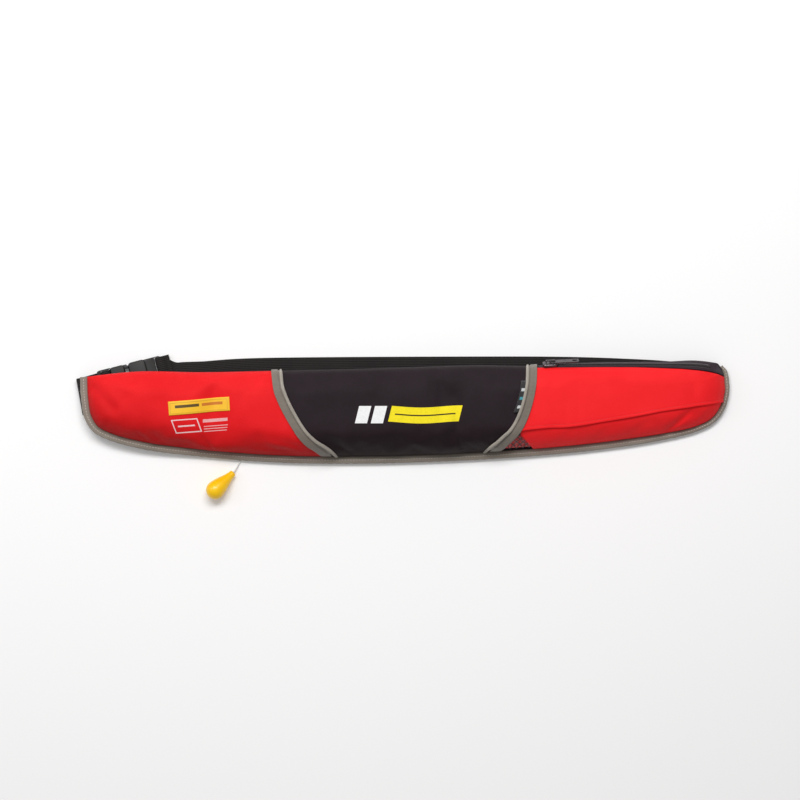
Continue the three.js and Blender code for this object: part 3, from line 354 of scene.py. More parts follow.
knob_yellow = Finish("moulded_yellow", Roughness=0.32, Coat_Weight=0.18, Coat_Roughness=0.2,
                     Subsurface_Weight=0.06, Subsurface_Scale=0.004)
speckle = knob_yellow.noise(260.0)
cloud = knob_yellow.noise(60.0)
knob_yellow.colors(cloud, rgb(255, 190, 0), rgb(255, 212, 0))
knob_yellow.roughness(speckle * 0.22 + 0.22)
knob_yellow.bump(speckle, 0.12 * MM, 0.5)
dressed(knob, knob_yellow, "pull_knob")


# Shape of the pouch
# Two long faces of nylon cloth are sewn together along the bound bottom edge and filled by the folded
# bladder. The front bulges up from that edge and rolls down again to the seam along the top.
FLANGE_HEIGHT = 4.6 * MM
FLANGE_RAISE = 8.8 * MM  # the buckle lifts the bound edge at the left end
PACK_THICKNESS = 37 * MM
FABRIC = 1.0 * MM
GAP = 0.3 * MM
EDGE_ROLL = 30 * MM
TOP_ROLL = 26 * MM
BACK_ROLL = 16 * MM
BACK_EDGE = 12 * MM
SEAM_SHARE = 0.42
BINDING_WIDTH = 7.2 * MM
BINDING_END_WIDTH = 4.8 * MM
BINDING_TIP_WIDTH = 3.2 * MM
BINDING_THICKNESS = 3.2 * MM
STRAP_WIDTH = 40 * MM
STRAP_THICKNESS = 1.8 * MM
LEFT_CORNER = 0.072
RIGHT_CORNER = 0.915
PANEL_END = 0.9965

# Lines as (share of the length from the left, share of the height from the lowest point)
EDGE = [(0.0, 0.897), (0.0015, 0.68), (0.0069, 0.474), (0.0192, 0.34), (0.0376, 0.263), (0.0929, 0.155),
        (0.185, 0.072), (0.308, 0.01), (0.431, 0.0), (0.554, 0.021), (0.677, 0.067), (0.8, 0.144),
        (0.892, 0.237), (0.953, 0.34), (0.978, 0.433), (0.993, 0.567), (1.0, 0.742), (0.9995, 0.868),
        (0.9965, 0.962), (0.9895, 1.021)]
TOP_EDGE = [(0.0315, 0.918), (0.093, 0.956), (0.185, 0.948), (0.277, 0.959), (0.4, 0.979), (0.492, 0.997),
            (0.615, 1.021), (0.692, 1.013), (0.73, 1.034), (0.8, 1.05), (0.892, 1.056), (0.9455, 1.07),
            (0.9716, 1.052), (0.982, 1.036)]
POCKET_SEAM = [(0.69, 0.99), (0.738, 0.994), (0.861, 0.996), (0.922, 0.979), (0.953, 0.959),
               (0.978, 0.928), (0.9915, 0.897)]
FLAP_EDGE = [(0.66, 0.335), (0.711, 0.371), (0.75, 0.385), (0.828, 0.464), (0.902, 0.552),
             (0.9355, 0.586), (0.9915, 0.641)]
LEFT_TRIM = [(0.386, 0.06), (0.3495, 0.263), (0.325, 0.5), (0.308, 0.753), (0.3015, 0.99)]
RIGHT_TRIM = [(0.622, 0.06), (0.6545, 0.237), (0.674, 0.402), (0.6855, 0.588), (0.693, 0.814),
              (0.6955, 1.04)]
BELT_LINE = [(0.149, 0.853), (0.185, 0.867), (0.247, 0.898), (0.339, 0.911), (0.538, 0.919),
             (0.738, 0.918), (0.861, 0.891), (0.922, 0.862), (0.965, 0.835)]
BULGE = [(-0.05, 0.6), (0.02, 0.66), (0.1, 0.84), (0.2, 0.96), (0.4, 1.0), (0.7, 1.0), (0.88, 0.88),
         (0.97, 0.72), (1.05, 0.6)]


def mix(low, high, share):
    return low + (high - low) * share


def smoothstep(value, low, high):
    t = np.clip((value - low) / (high - low), 0, 1)
    return t * t * (3 - 2 * t)


def plan(rows):
    return [(float(along(a)), float(up(u))) for a, u in rows]


def over(line):
    """Height of a line over any x, straight on beyond its ends."""
    line = line[np.argsort(line[:, 0])]
    first, last = line[0] - (line[3] - line[0]) * 30, line[-1] + (line[-1] - line[-4]) * 30
    x, y = np.vstack([first, line, last]).T
    return lambda at: np.interp(at, x, y)


edge_line = curve_through(plan(EDGE), 0.5 * MM)
edge_share = np.linspace(0, 1, len(edge_line))
edge_way = unit(np.gradient(edge_line, axis=0))
edge_inward = np.stack([-edge_way[:, 1], edge_way[:, 0]], axis=1)


def edge_point(share, inset):
    """A point that far inside the bound edge, at a share of its length from the top left."""
    at = [np.interp(share, edge_share, edge_line[:, axis]) for axis in (0, 1)]
    inward = [np.interp(share, edge_share, edge_inward[:, axis]) for axis in (0, 1)]
    return np.stack([at[0] + inward[0] * inset, at[1] + inward[1] * inset], axis=-1)


def binding_width(share):
    width = mix(BINDING_WIDTH, BINDING_END_WIDTH, smoothstep(share, 0.78, 0.93))
    return mix(width, BINDING_TIP_WIDTH, smoothstep(share, 0.972, 1))


def crevice(share):
    """Where the cloth dives in beside the binding."""
    return edge_point(share, binding_width(share) + 2 * GAP)


crevice_line = crevice(np.linspace(0, 1, 261))
bottom_shares, end_shares = np.linspace(LEFT_CORNER, RIGHT_CORNER, 400), np.linspace(RIGHT_CORNER, 1, 100)
bottom_line, end_line = crevice(bottom_shares), crevice(end_shares)
crevice_over = over(bottom_line)
foot_share = lambda x: np.interp(x, bottom_line[:, 0], bottom_shares)
end_share = lambda y: np.interp(y, end_line[:, 1], end_shares)
top_over = over(curve_through([crevice(0.0), *plan(TOP_EDGE), crevice(PANEL_END)], MM))
seam_over = over(curve_through(plan(POCKET_SEAM), MM))
flap_over = over(curve_through(plan(FLAP_EDGE), MM))
belt_over = over(curve_through(plan(BELT_LINE), MM))
bulge_line = curve_through(BULGE, 0.01)
bulge_over = lambda x: np.interp((x - PACK_MIDDLE) / PACK_LENGTH + 0.5, *bulge_line.T)


def distance_to_edge(x, y):
    points = np.stack([x.ravel(), y.ravel()], axis=1)
    a, step = crevice_line[:-1], np.diff(crevice_line, axis=0)
    least = np.full(len(points), np.inf)
    for start, way in zip(a, step):
        t = np.clip(((points - start) @ way) / (way @ way), 0, 1)
        least = np.minimum(least, np.hypot(*(points - start - t[:, None] * way).T))
    return least.reshape(x.shape)


def roll(distance, width):
    q = np.clip(1 - distance / width, 0, 1)
    return np.sqrt(1 - q * q)


BUCKLE_END = (-325.08 * MM, 18.95 * MM)
BUCKLE_RIGHT = -245.08 * MM
BUCKLE_WIDTH = 46 * MM
BUCKLE_SLOPE = math.tan(math.radians(14.5))
BUCKLE_LOW = 23.8 * MM  # from the buckle's middle to the lower edge of what lies under the back
BUCKLE_ROOM = 13.3 * MM
STRAP_END = (-349 * MM, 13.5 * MM)
STRAP_SLOPE = math.tan(math.radians(5.5))
BELT_ROOM = 2.7 * MM
TUNNEL_ROOM = 7.4 * MM  # for the cord, under the back
TUNNEL_REACH = (9.9 * MM, 34 * MM)


def flange_height(x):
    return FLANGE_HEIGHT + FLANGE_RAISE * (1 - smoothstep(x, BUCKLE_END[0], BUCKLE_RIGHT + BUCKLE_WIDTH))


def front_height(x, y):
    bulge = (PACK_THICKNESS - FLANGE_HEIGHT) * bulge_over(x)
    top_share = mix(SEAM_SHARE, 1, roll(top_over(x) - y, TOP_ROLL))
    return flange_height(x) + GAP + bulge * roll(distance_to_edge(x, y), EDGE_ROLL) * top_share


def ground_clearance(x, y):
    """How far the belt, the buckle and the cord hold the back above the table."""
    belt = BELT_ROOM * smoothstep(y, belt_over(x) - STRAP_WIDTH * 0.9, belt_over(x) - STRAP_WIDTH * 0.62)
    over_buckle = 1 - smoothstep(x, BUCKLE_RIGHT, BUCKLE_RIGHT + BUCKLE_WIDTH * 0.7)
    low = BUCKLE_END[1] + (x - BUCKLE_END[0]) * BUCKLE_SLOPE - BUCKLE_LOW
    low = np.minimum(low, STRAP_END[1] + (x - STRAP_END[0]) * STRAP_SLOPE - STRAP_WIDTH / 2)
    buckle = BUCKLE_ROOM * over_buckle * smoothstep(y, low - STRAP_WIDTH * 0.5, low - STRAP_WIDTH * 0.1)
    tunnel = TUNNEL_ROOM * (1 - smoothstep(np.hypot(x - EYELET[0], y - EYELET[1]), *TUNNEL_REACH))
    return np.maximum(np.maximum(belt, buckle), tunnel)


def back_height(x, y):
    under_flange = flange_height(x) - BINDING_THICKNESS / 2
    pinch = smoothstep(distance_to_edge(x, y), 0, BACK_EDGE)
    flat = mix(under_flange, ground_clearance(x, y), pinch)
    seam = mix(under_flange, front_height(x, top_over(x)) - 2 * GAP, pinch)
    return mix(seam, flat, roll(top_over(x) - y, BACK_ROLL))


def patch(bottom, top, left, right, us, vs):
    """Places in plan between four border lines, for every pair of steps."""
    u, v = us[:, None, None], vs[None, :, None]
    b, t, l, r = bottom(us)[:, None], top(us)[:, None], left(vs)[None], right(vs)[None]
    corners = b[0] * (1 - u) * (1 - v) + b[-1] * u * (1 - v) + t[0] * (1 - u) * v + t[-1] * u * v
    return b * (1 - v) + t * v + l * (1 - u) + r * u - corners


even = lambda count: np.linspace(0, 1, count + 1)
both_ends = lambda count: 0.5 - 0.5 * np.cos(np.pi * even(count))
on_bottom = lambda a, b: lambda u: crevice(mix(a, b, u))
over_x = lambda line, a, b: lambda u: np.stack([mix(a, b, u), line(mix(a, b, u))], axis=-1)
COVER = (
    on_bottom(LEFT_CORNER, RIGHT_CORNER),
    over_x(top_over, crevice(0.0)[0], crevice(PANEL_END)[0]),
    on_bottom(LEFT_CORNER, 0),
    on_bottom(RIGHT_CORNER, PANEL_END),
)


def measured(points):
    """The cloth's own measures at each point of a grid, in metres."""
    u = np.linalg.norm(np.diff(points, axis=0), axis=2)
    v = np.linalg.norm(np.diff(points, axis=1), axis=2)
    run_u = np.concatenate([np.zeros((1, points.shape[1])), np.cumsum(u, axis=0)])
    run_v = np.concatenate([np.zeros((points.shape[0], 1)), np.cumsum(v, axis=1)], axis=1)
    return np.stack([run_u.mean(axis=1, keepdims=True) + 0 * run_u, run_v], axis=-1)


# The filled cloth swells between its seams, where it is held, and puckers along them.
SWELL_CAP = 3.2 * MM
SWELL_CELLS = (172, 30)
SWELL_STEPS = 18
SWELL_PRESSURE = 4.0
SWELL_SHRINKAGE = -0.022  # below nothing, so the cloth has some to spare


def swollen():
    """Blows up the front cloth a little by simulation; how far each point of its grid moved."""
    places = patch(*COVER, even(SWELL_CELLS[0]), even(SWELL_CELLS[1]))
    points = np.concatenate([places, front_height(places[..., 0], places[..., 1])[..., None]], axis=2)
    cloth = grid("front_cloth_swelling", points, measured(points))
    border = np.zeros(places.shape[:2], bool)
    border[[0, -1], :] = border[:, [0, -1]] = True
    pins = cloth.vertex_groups.new(name="seams")
    pins.add(np.flatnonzero(border.ravel()).tolist(), 1.0, "REPLACE")
    sim = cloth.modifiers.new("cloth", "CLOTH")
    sim.settings.vertex_group_mass = "seams"
    sim.settings.quality = 6
    sim.settings.mass = 0.15
    sim.settings.bending_stiffness = 0.25
    sim.settings.shrink_min = sim.settings.shrink_max = SWELL_SHRINKAGE
    sim.settings.use_pressure = True
    sim.settings.uniform_pressure_force = SWELL_PRESSURE
    sim.settings.effector_weights.gravity = 0
    for step in range(1, SWELL_STEPS + 1):
        scene.frame_set(step)
    result = evaluated(cloth).data
    moved = np.array([vertex.co[:] for vertex in result.vertices]).reshape(points.shape) - points
    bpy.data.objects.remove(cloth)
    scene.frame_set(1)
    reach = np.linalg.norm(moved, axis=2, keepdims=True)
    return places, moved * np.minimum(1, SWELL_CAP / np.maximum(reach, 1e-9))


RASTER = 2.5 * MM
raster_x = np.arange(-0.36, 0.36, RASTER)
raster_y = np.arange(-0.065, 0.065, RASTER)
swell = np.zeros((len(raster_x), len(raster_y), 3))
places, moved = swollen()
flat_places, flat_moved = places.reshape(-1, 2), moved.reshape(-1, 3)
tree = KDTree(len(flat_places))
for i, (x, y) in enumerate(flat_places):
    tree.insert((x, y, 0), i)
tree.balance()
for i, x in enumerate(raster_x):
    for j, y in enumerate(raster_y):
        near = tree.find_n((x, y, 0), 4)
        weights = np.array([1 / (distance + 0.2 * MM) for _, _, distance in near])
        around = flat_moved[[index for _, index, _ in near]]
        swell[i, j] = (around * weights[:, None]).sum(0) / weights.sum()
for axis in (0, 0, 1):  # the raster's steps are smoothed away
    swell = (np.roll(swell, 1, axis) + 2 * swell + np.roll(swell, -1, axis)) / 4

# Folds and dents of the used cloth: from and to in plan, depth, and half width, all in millimetres
FOLDS = [
    (-336, 26, -312, 2, 4, 7), (-318, 22, -300, 14, 2.4, 9), (-287, -24, -277, -36, 3.2, 2.6),
    (-278, -22, -262, -34, 1.8, 3.4), (-217, -30, -205, -43, 3, 3.2), (-232, -36, -222, -44, 1.6, 3),
    (-150, -34, -112, -46, -1.8, 3.0), (-160, -40, -128, -45, 1.6, 2.6), (24, 46, 34, 39, 2.4, 3.0),
    (36, 30, 48, 14, 2.6, 8), (57, -29, 60, -41, 2.4, 2.2), (66, -36, 84, -48, 2.6, 2.6),
    (78, -30, 92, -40, -1.6, 3.5), (-70, -40, -58, -47, 2, 2.6), (-96, -24, -70, -40, 1.6, 6),
    (100, 20, 118, -12, 1.8, 7), (10, -42, 34, -49, 1.4, 3.5), (-40, 18, 10, 24, 1, 9),
    (305, -4, 283, -22, 4.4, 3.6), (262, -14, 240, -30, 1.8, 4.5), (222, -20, 200, -36, 1.6, 4),
    (330, -2, 316, -16, 2, 3.4), (180, -22, 160, -40, 1.4, 4), (160, 30, 230, 26, 0.8, 9),
]
FOLD_START = 0.35  # share of its depth that a fold starts with


def fold_depth(x, y):
    depth = np.zeros_like(x)
    for x0, y0, x1, y1, deep, wide in FOLDS:
        start, way = np.array([x0, y0]) * MM + (PACK_MIDDLE, 0), np.array([x1 - x0, y1 - y0]) * MM
        t = ((x - start[0]) * way[0] + (y - start[1]) * way[1]) / (way @ way)
        ends = np.exp(-((np.clip(t, 0, 1) - t) * np.linalg.norm(way) / (wide * MM)) ** 2)
        off = np.hypot(x - start[0] - t * way[0], y - start[1] - t * way[1])
        deeper = mix(FOLD_START, 1, np.clip(t, 0, 1))
        depth += deep * MM * ends * np.exp(-((off / (wide * MM)) ** 2)) * deeper
    return depth


FLAP_SWELL = 0.35  # the pocket's flap is stretched smooth


def on_front(places):
    """Points of the swollen, folded front over places in plan."""
    x, y = places[..., 0], places[..., 1]
    held = roll(distance_to_edge(x, y), 8 * MM) * smoothstep(top_over(x) - y, 2 * MM, 14 * MM)
    points = np.stack([x, y, front_height(x, y) - fold_depth(x, y) * held], axis=-1)
    fx = np.clip((x - raster_x[0]) / RASTER, 0, len(raster_x) - 1.001)
    fy = np.clip((y - raster_y[0]) / RASTER, 0, len(raster_y) - 1.001)
    i, j = fx.astype(int), fy.astype(int)
    s, t = (fx - i)[..., None], (fy - j)[..., None]
    low = swell[i, j] * (1 - s) + swell[i + 1, j] * s
    high = swell[i, j + 1] * (1 - s) + swell[i + 1, j + 1] * s
    taut = mix(1, FLAP_SWELL, smoothstep(x, along(0.66), along(0.70)))
    return points + (low * (1 - t) + high * t) * (held * taut)[..., None]


def on_back(places):
    x, y = places[..., 0], places[..., 1]
    return np.stack([x, y, back_height(x, y)], axis=-1)


def raised(points, lift):
    """Points lifted off the surface that they make, by that much at each."""
    normal = np.cross(np.gradient(points, axis=0), np.gradient(points, axis=1))
    normal /= np.maximum(np.linalg.norm(normal, axis=2, keepdims=True), 1e-12)
    return points + normal * np.broadcast_to(lift, points.shape[:2])[..., None]


def wall(name, points, thickness=FABRIC, outward=1):
    """A cloth wall: its outer face is where the points are and its thickness is behind it."""
    points = points if outward > 0 else points[:, ::-1]
    obj = grid(name, points, measured(points))
    thick = obj.modifiers.new("thickness", "SOLIDIFY")
    thick.thickness = thickness
    thick.offset = -1
    return obj


# Front panels
# Two red panels and a black one between them, of fine coated nylon, meet under the grey trims. Plain
# printed bars stand on the left and the middle panel. Each is sewn in along the bottom and the top.
# Painted shade: the left red panel and the black panel are coloured darker near their foot, where the cloth
# rolls away from the light.
FOOT_PAINTED_SHADE = (4 * MM, 74 * MM)  # the shade's reach, up the cloth from its foot


def in_painted_shade(color, share):
    """A colour darkened by painted shade: it loses its pale parts first."""
    return color[0] * share, color[1] * share ** 2, color[2] * share ** 2, 1


def nylon(name, light, dark, roughness=0.6, sheen=0.05, foot=1.0):
    """Fine coated nylon: its finish, and its colour before any print. Painted shade makes it darker towards
    its foot; foot sets how dark.
    """
    finish = Finish(name, Sheen_Weight=sheen, Sheen_Roughness=0.45, Specular_IOR_Level=0.1)
    u, v, _ = finish.parts("UV")
    weave = (u * 10500).sine() * (v * 10500).sine()
    grain = finish.noise(850.0, 2.0)
    cloud = finish.noise(24.0, 4.0)
    share = cloud * 0.8 + grain * 0.5 + weave * 0.05 - 0.15
    finish.roughness(grain * 0.2 + (roughness - 0.1))
    finish.bump(weave * 0.35 + grain + cloud * 0.6, 0.16 * MM, 0.55)
    color = finish.mix(share, dark, light)
    # Painted shade, from the foot of the cloth up to the end of its reach.
    reach = {0: v, 1: FOOT_PAINTED_SHADE[0], 2: FOOT_PAINTED_SHADE[1]}
    clear_of_painted_shade = finish.node("ShaderNodeMapRange", {"interpolation_type": "SMOOTHSTEP"}, reach)
    return finish, finish.mix(clear_of_painted_shade, finish.mix(share, in_painted_shade(dark, foot), in_painted_shade(light, foot)), color)


def bar(x, y, left, right, low, high):
    """A printed bar: 1 inside its four sides, given in metres."""
    return (x > left) * (x < right) * (y > low) * (y < high)


def trim_line(rows):
    """Places along a trim, by steps from its foot to its head and a shift to its side."""
    line = curve_through(plan(rows), 0.5 * MM)
    low = crevice_over(line[:, 0])
    share = (line[:, 1] - low) / (top_over(line[:, 0]) - low)
    foot = np.flatnonzero(share <= 0)[-1] if (share <= 0).any() else 0
    head = np.flatnonzero(share >= 1)[0] if (share >= 1).any() else len(line) - 1
    line, share = line[foot:head + 1], np.clip(share[foot:head + 1], 0, 1)
    share[-1] = 1
    run = run_of(line) / run_of(line)[-1]
    way = np.gradient(line, axis=0)
    slope = np.maximum(np.abs(way[:, 1]) / np.linalg.norm(way, axis=1), 0.4)

    def place(steps, shift=0.0):
        steps = np.asarray(steps, float)
        x = np.interp(steps, run, line[:, 0]) + shift / np.interp(steps, run, slope)
        return np.stack([x, mix(crevice_over(x), top_over(x), np.interp(steps, run, share))], axis=-1)

    return place


left_trim = trim_line(LEFT_TRIM)
right_trim = trim_line(RIGHT_TRIM)
foot_of = lambda trim: float(foot_share(trim(0.0)[0]))
at_start = lambda count: 1 - np.cos(np.pi / 2 * even(count))
at_end = lambda count: np.sin(np.pi / 2 * even(count))

# foot=0.62 sets how deep the painted shade at this panel's foot is.
nylon_red, red = nylon("nylon_red", rgb(246, 39, 43), rgb(218, 16, 24), sheen=0.01, foot=0.62)
x, y, _ = nylon_red.parts()
x = x - PACK_MIDDLE
tilted = y - (x + 0.216) * 0.075
lean = x + tilted * 0.35
hollow = bar(lean, tilted, -0.2523, -0.2267, -0.0223, -0.0097)
frame_print = bar(lean, tilted, -0.2535, -0.2255, -0.0235, -0.0085) - hollow
frame_print = frame_print + bar(lean, tilted, -0.2485, -0.2305, -0.0168, -0.0152)
lines_print = bar(x, tilted, -0.2165, -0.190, -0.0138, -0.0104)
for low in (-0.0185, -0.0212, -0.0239):
    lines_print = lines_print + bar(x, tilted, -0.2155, -0.186 + low * 0.2, low, low + 0.9 * MM)
worn = nylon_red.noise(700.0, 2.0) * 0.7 + 0.45
nylon_red.colors((frame_print * 0.9 + lines_print * 0.6) * worn, red, rgb(242, 236, 236))

left_points = on_front(patch(
    on_bottom(LEFT_CORNER, foot_of(left_trim)),
    over_x(top_over, crevice(0.0)[0], left_trim(1.0)[0]),
    on_bottom(LEFT_CORNER, 0),
    left_trim,
    at_start(150), both_ends(64),
))
left_panel = wall("left_panel_cloth", left_points)
dressed(left_panel, nylon_red, "front_left_panel")

# foot=0.6 sets how deep the painted shade at this panel's foot is.
nylon_black, black = nylon("nylon_black", rgb(47, 37, 42), rgb(30, 22, 26), 0.62, foot=0.6)
x, y, _ = nylon_black.parts()
x = x - PACK_MIDDLE
lean = x - y * 0.25
white_print = sum(bar(lean, y, left, left + 0.0130, -0.0145, 0.0040) for left in (-0.0500, -0.0330))
wave = (x * 70 + 0.4).sine() * 0.0012
yellow_print = bar(lean, y + wave, -0.0150, 0.0605, -0.0135, 0.0035)
slit = bar(lean, y + wave, -0.0095, 0.0550, -0.0058, -0.0044)
worn = nylon_black.noise(500.0, 2.0) * 0.3 + 0.82
printed = nylon_black.mix(white_print * worn, black, rgb(247, 246, 246))
nylon_black.colors((yellow_print - slit) * worn, printed, rgb(250, 230, 40))

centre_points = on_front(patch(
    on_bottom(foot_of(left_trim), foot_of(right_trim)),
    over_x(top_over, left_trim(1.0)[0], right_trim(1.0)[0]),
    left_trim,
    right_trim,
    even(150), both_ends(64),
))
centre_panel = wall("centre_panel_cloth", centre_points)
dressed(centre_panel, nylon_black, "front_centre_panel")


# Pocket on the right
# A red flap with a turned and stitched lower edge hangs over a looser red panel. That panel's lower
# left corner is cut away, and a black knitted net behind it lets water out.
FLAP_OVERLAP = 5 * MM
FLAP_THICKNESS = 1.6 * MM
HEM_RISE, HEM_WIDTH = 0.9 * MM, 4.2 * MM
HEM_ROW = 3.2 * MM  # the row of stitches, from the flap's lower edge
STITCH_SINK = 0.5 * MM
steps = even(800)
where = lambda line: steps[np.argmax(right_trim(steps)[:, 1] >= line(right_trim(steps)[:, 0]))]
flap_start, seam_start = where(flap_over), where(seam_over)
flap_end, seam_end = float(end_share(up(0.641))), float(end_share(up(0.897)))
flap_places = patch(
    over_x(flap_over, right_trim(flap_start)[0], crevice(flap_end)[0]),
    over_x(seam_over, right_trim(seam_start)[0], crevice(seam_end)[0]),
    lambda v: right_trim(mix(flap_start, seam_start, v)),
    lambda v: crevice(mix(flap_end, seam_end, v)),
    at_end(130), even(56) ** 1.25,
)
flap_points = on_front(flap_places)
hem = flap_places[..., 1] - flap_over(flap_places[..., 0])
hem_lift = HEM_RISE * np.exp(-((hem / HEM_WIDTH) ** 4)) - STITCH_SINK * np.exp(-(((hem - HEM_ROW) / MM) ** 2))
flap = wall("flap_cloth", raised(flap_points, hem_lift + GAP), FLAP_THICKNESS)
nylon_flap, red = nylon("nylon_flap", rgb(255, 44, 48), rgb(240, 26, 33), sheen=0.01)
nylon_flap.color(red)
dressed(flap, nylon_flap, "front_right_flap")

under_flap = lambda x: flap_over(x) + FLAP_OVERLAP
under_flap_end = float(end_share(up(0.641) + FLAP_OVERLAP))
cut_head = np.array([along(0.6755), under_flap(along(0.6755))])
cut_foot_share = float(foot_share(along(0.6975)))
cut_line = np.array([crevice(cut_foot_share), (along(0.678), up(0.278)), (along(0.6755), up(0.34)), cut_head])
CUT_STEPS = (0, 0.5, 0.72, 1)
cut_edge = lambda v: np.stack([np.interp(v, CUT_STEPS, cut_line[:, axis]) for axis in (0, 1)], axis=-1)
lower_us, lower_vs = at_end(120), even(40) ** 1.6
lower_points = on_front(patch(
    on_bottom(cut_foot_share, RIGHT_CORNER),
    over_x(under_flap, cut_head[0], crevice(under_flap_end)[0]),
    cut_edge,
    lambda v: crevice(mix(RIGHT_CORNER, under_flap_end, v)),
    lower_us, lower_vs,
))
sunk = 0.9 * MM * smoothstep(lower_vs, 0, 0.6)
slack = np.sin(lower_points[..., 0] * 96 + lower_points[..., 1] * 60) * 0.5 * MM * np.sin(np.pi * lower_vs)
lower_panel = wall("lower_pocket_cloth", raised(lower_points, slack - sunk))
dressed(lower_panel, nylon_flap, "front_right_lower_panel")


class Maker(Tree):
    """A Geometry Nodes tree with named sizes. It works on a piece's own mesh."""

    def __init__(self, name, sizes):
        super().__init__(bpy.data.node_groups.new(name, "GeometryNodeTree"))
        face = self.tree.interface
        face.new_socket("Geometry", in_out="INPUT", socket_type="NodeSocketGeometry")
        for size in sizes:
            face.new_socket(size, in_out="INPUT", socket_type="NodeSocketFloat")
        face.new_socket("Geometry", in_out="OUTPUT", socket_type="NodeSocketGeometry")
        self.given = self.tree.nodes.new("NodeGroupInput")

    def size(self, name):
        return Sock(self, self.given.outputs[name])

    def ends_in(self, shape):
        real = self.node("GeometryNodeRealizeInstances", None, [shape])
        self.colored = self.node("GeometryNodeSetMaterial", None, {"Geometry": real})
        output = self.tree.nodes.new("NodeGroupOutput")
        self.feed(output.inputs["Geometry"], self.colored)

    def make(self, obj, finish, **sizes):
        """The piece with this tree on it, as a modifier with its sizes set."""
        self.colored.out.node.inputs["Material"].default_value = finish.material
        modifier = obj.modifiers.new(self.tree.name, "NODES")
        modifier.node_group = self.tree
        for item in self.tree.interface.items_tree:
            if item.in_out == "INPUT" and item.name in sizes:
                modifier[item.identifier] = float(sizes[item.name])
        return obj


def threads(name, lines):
    """Bare edges along lines of points, for a tree to build on."""
    mesh = bpy.data.meshes.new(name)
    points, edges = [], []
    for line in lines:
        first = len(points)
        points += [tuple(map(float, p)) for p in line]
        edges += [(first + i, first + i + 1) for i in range(len(line) - 1)]
    mesh.from_pydata(points, edges, [])
    return linked(name, mesh)


knit = Maker("knitted_net", ["Yarn"])
yarn_curve = knit.node("GeometryNodeMeshToCurve", None, {"Mesh": knit.size("Geometry")})
yarn_size = {"Resolution": 5, "Radius": knit.size("Yarn")}
yarn_round = knit.node("GeometryNodeCurvePrimitiveCircle", None, yarn_size)
knit.ends_in(knit.node("GeometryNodeCurveToMesh", None, {"Curve": yarn_curve, "Profile Curve": yarn_round}))

NET_FROM, NET_TO = along(0.652), along(0.716)
NET_STEPS = (26, 16)  # along the window and up it
NET_MESH = 4  # steps from one yarn to the next
NET_DROP = 2.0 * MM  # below the face of the panels
net_top = lambda x: under_flap(x) - 0.5 * MM
net_side = lambda x: lambda v: mix(crevice(foot_share(x)), np.array([x, net_top(x)]), v[:, None])
net_points = raised(on_front(patch(
    on_bottom(float(foot_share(NET_FROM)), float(foot_share(NET_TO))),
    over_x(net_top, NET_FROM, NET_TO),
    net_side(NET_FROM),
    net_side(NET_TO),
    even(NET_STEPS[0]), even(NET_STEPS[1]),
)), -NET_DROP)
net_lines = []
for start in range(-NET_STEPS[1], NET_STEPS[0] + 1, NET_MESH):
    last = start + NET_STEPS[1]
    for columns in (range(start, last + 1), range(last, start - 1, -1)):
        line = [net_points[i, j] for j, i in enumerate(columns) if 0 <= i <= NET_STEPS[0]]
        net_lines += [line] if len(line) > 1 else []
net_black = Finish("knitted_black", Roughness=0.55, Sheen_Weight=0.3)
yarn_grain = net_black.noise(1500.0)
net_black.colors(yarn_grain, rgb(22, 19, 21), rgb(58, 50, 54))
net_black.bump(yarn_grain, 0.1 * MM)
net = knit.make(threads("drain_net_knit", net_lines), net_black, Yarn=0.5 * MM)
dressed(net, net_black, "drain_net")


# Folded bladder
# The coated red bladder is folded lengthwise into pleats and packed into the pouch. It is seen only
# through the net, and it holds the front out.
FILL_ABOVE, FILL_BELOW = 4.2 * MM, 5.5 * MM  # slack between the bladder and the cloth
COLUMNS = 40
pleat_us, around = mix(0.04, 0.96, even(90)), np.linspace(0, 2 * math.pi, 72, endpoint=False)
bladder_v = 0.5 + 0.46 * np.cos(around)
bladder_places = patch(*COVER, np.concatenate([[0], pleat_us, [1]]), even(COLUMNS))[1:-1]
columns = np.interp(bladder_v, even(COLUMNS), np.arange(COLUMNS + 1))
low_column, part = np.minimum(columns.astype(int), COLUMNS - 1), (columns % 1)[None, :, None]
bladder_xy = bladder_places[:, low_column] * (1 - part) + bladder_places[:, low_column + 1] * part
x, y = bladder_xy[..., 0], bladder_xy[..., 1]
slope_room = 5 * MM * (1 - roll(distance_to_edge(x, y), EDGE_ROLL))
front_z = front_height(x, y) - FILL_ABOVE - slope_room
back_z = back_height(x, y) + FILL_BELOW
rise = 0.5 + 0.5 * np.sign(np.sin(around)) * np.abs(np.sin(around)) ** 0.5 + 0.05 * np.sin(around * 9)
bladder_z = mix(back_z, np.maximum(front_z, back_z + MM), np.clip(rise, 0, 1))
bladder_points = np.concatenate([bladder_xy, bladder_z[..., None]], axis=2)
bladder = grid("folded_bladder_cloth", bladder_points, measured(bladder_points), round_v=True, capped=True)
coated_red = Finish("coated_red", Roughness=0.42)
crumple = coated_red.noise(120.0, 4.0)
coated_red.colors(crumple, rgb(190, 26, 32), rgb(240, 48, 50))
coated_red.bump(crumple, 0.8 * MM, 0.6)
dressed(bladder, coated_red, "folded_bladder")


# Dark gusset and back
# A strip of dark purple-grey nylon above the pocket takes the zip, and the whole back is of the same
# cloth. It goes up round the top of the pouch to the seam behind the front panels.
nylon_dark, dark = nylon("nylon_dark", rgb(70, 58, 66), rgb(42, 34, 39), 0.55)
nylon_dark.color(dark)
gusset_left = float(right_trim(1.0, 5.3 * MM)[0]) + 0.3 * MM
gusset_points = on_front(patch(
    over_x(lambda x: seam_over(x) + 0.4 * MM, gusset_left, crevice(seam_end)[0]),
    over_x(top_over, gusset_left, crevice(PANEL_END)[0]),
    lambda v: np.stack([gusset_left + 0 * v, mix(seam_over(gusset_left), top_over(gusset_left), v)], axis=-1),
    lambda v: crevice(mix(seam_end + 0.002, PANEL_END, v)),
    at_end(120), at_end(14),
))
gusset = wall("gusset_cloth", gusset_points)
dressed(gusset, nylon_dark, "top_gusset")

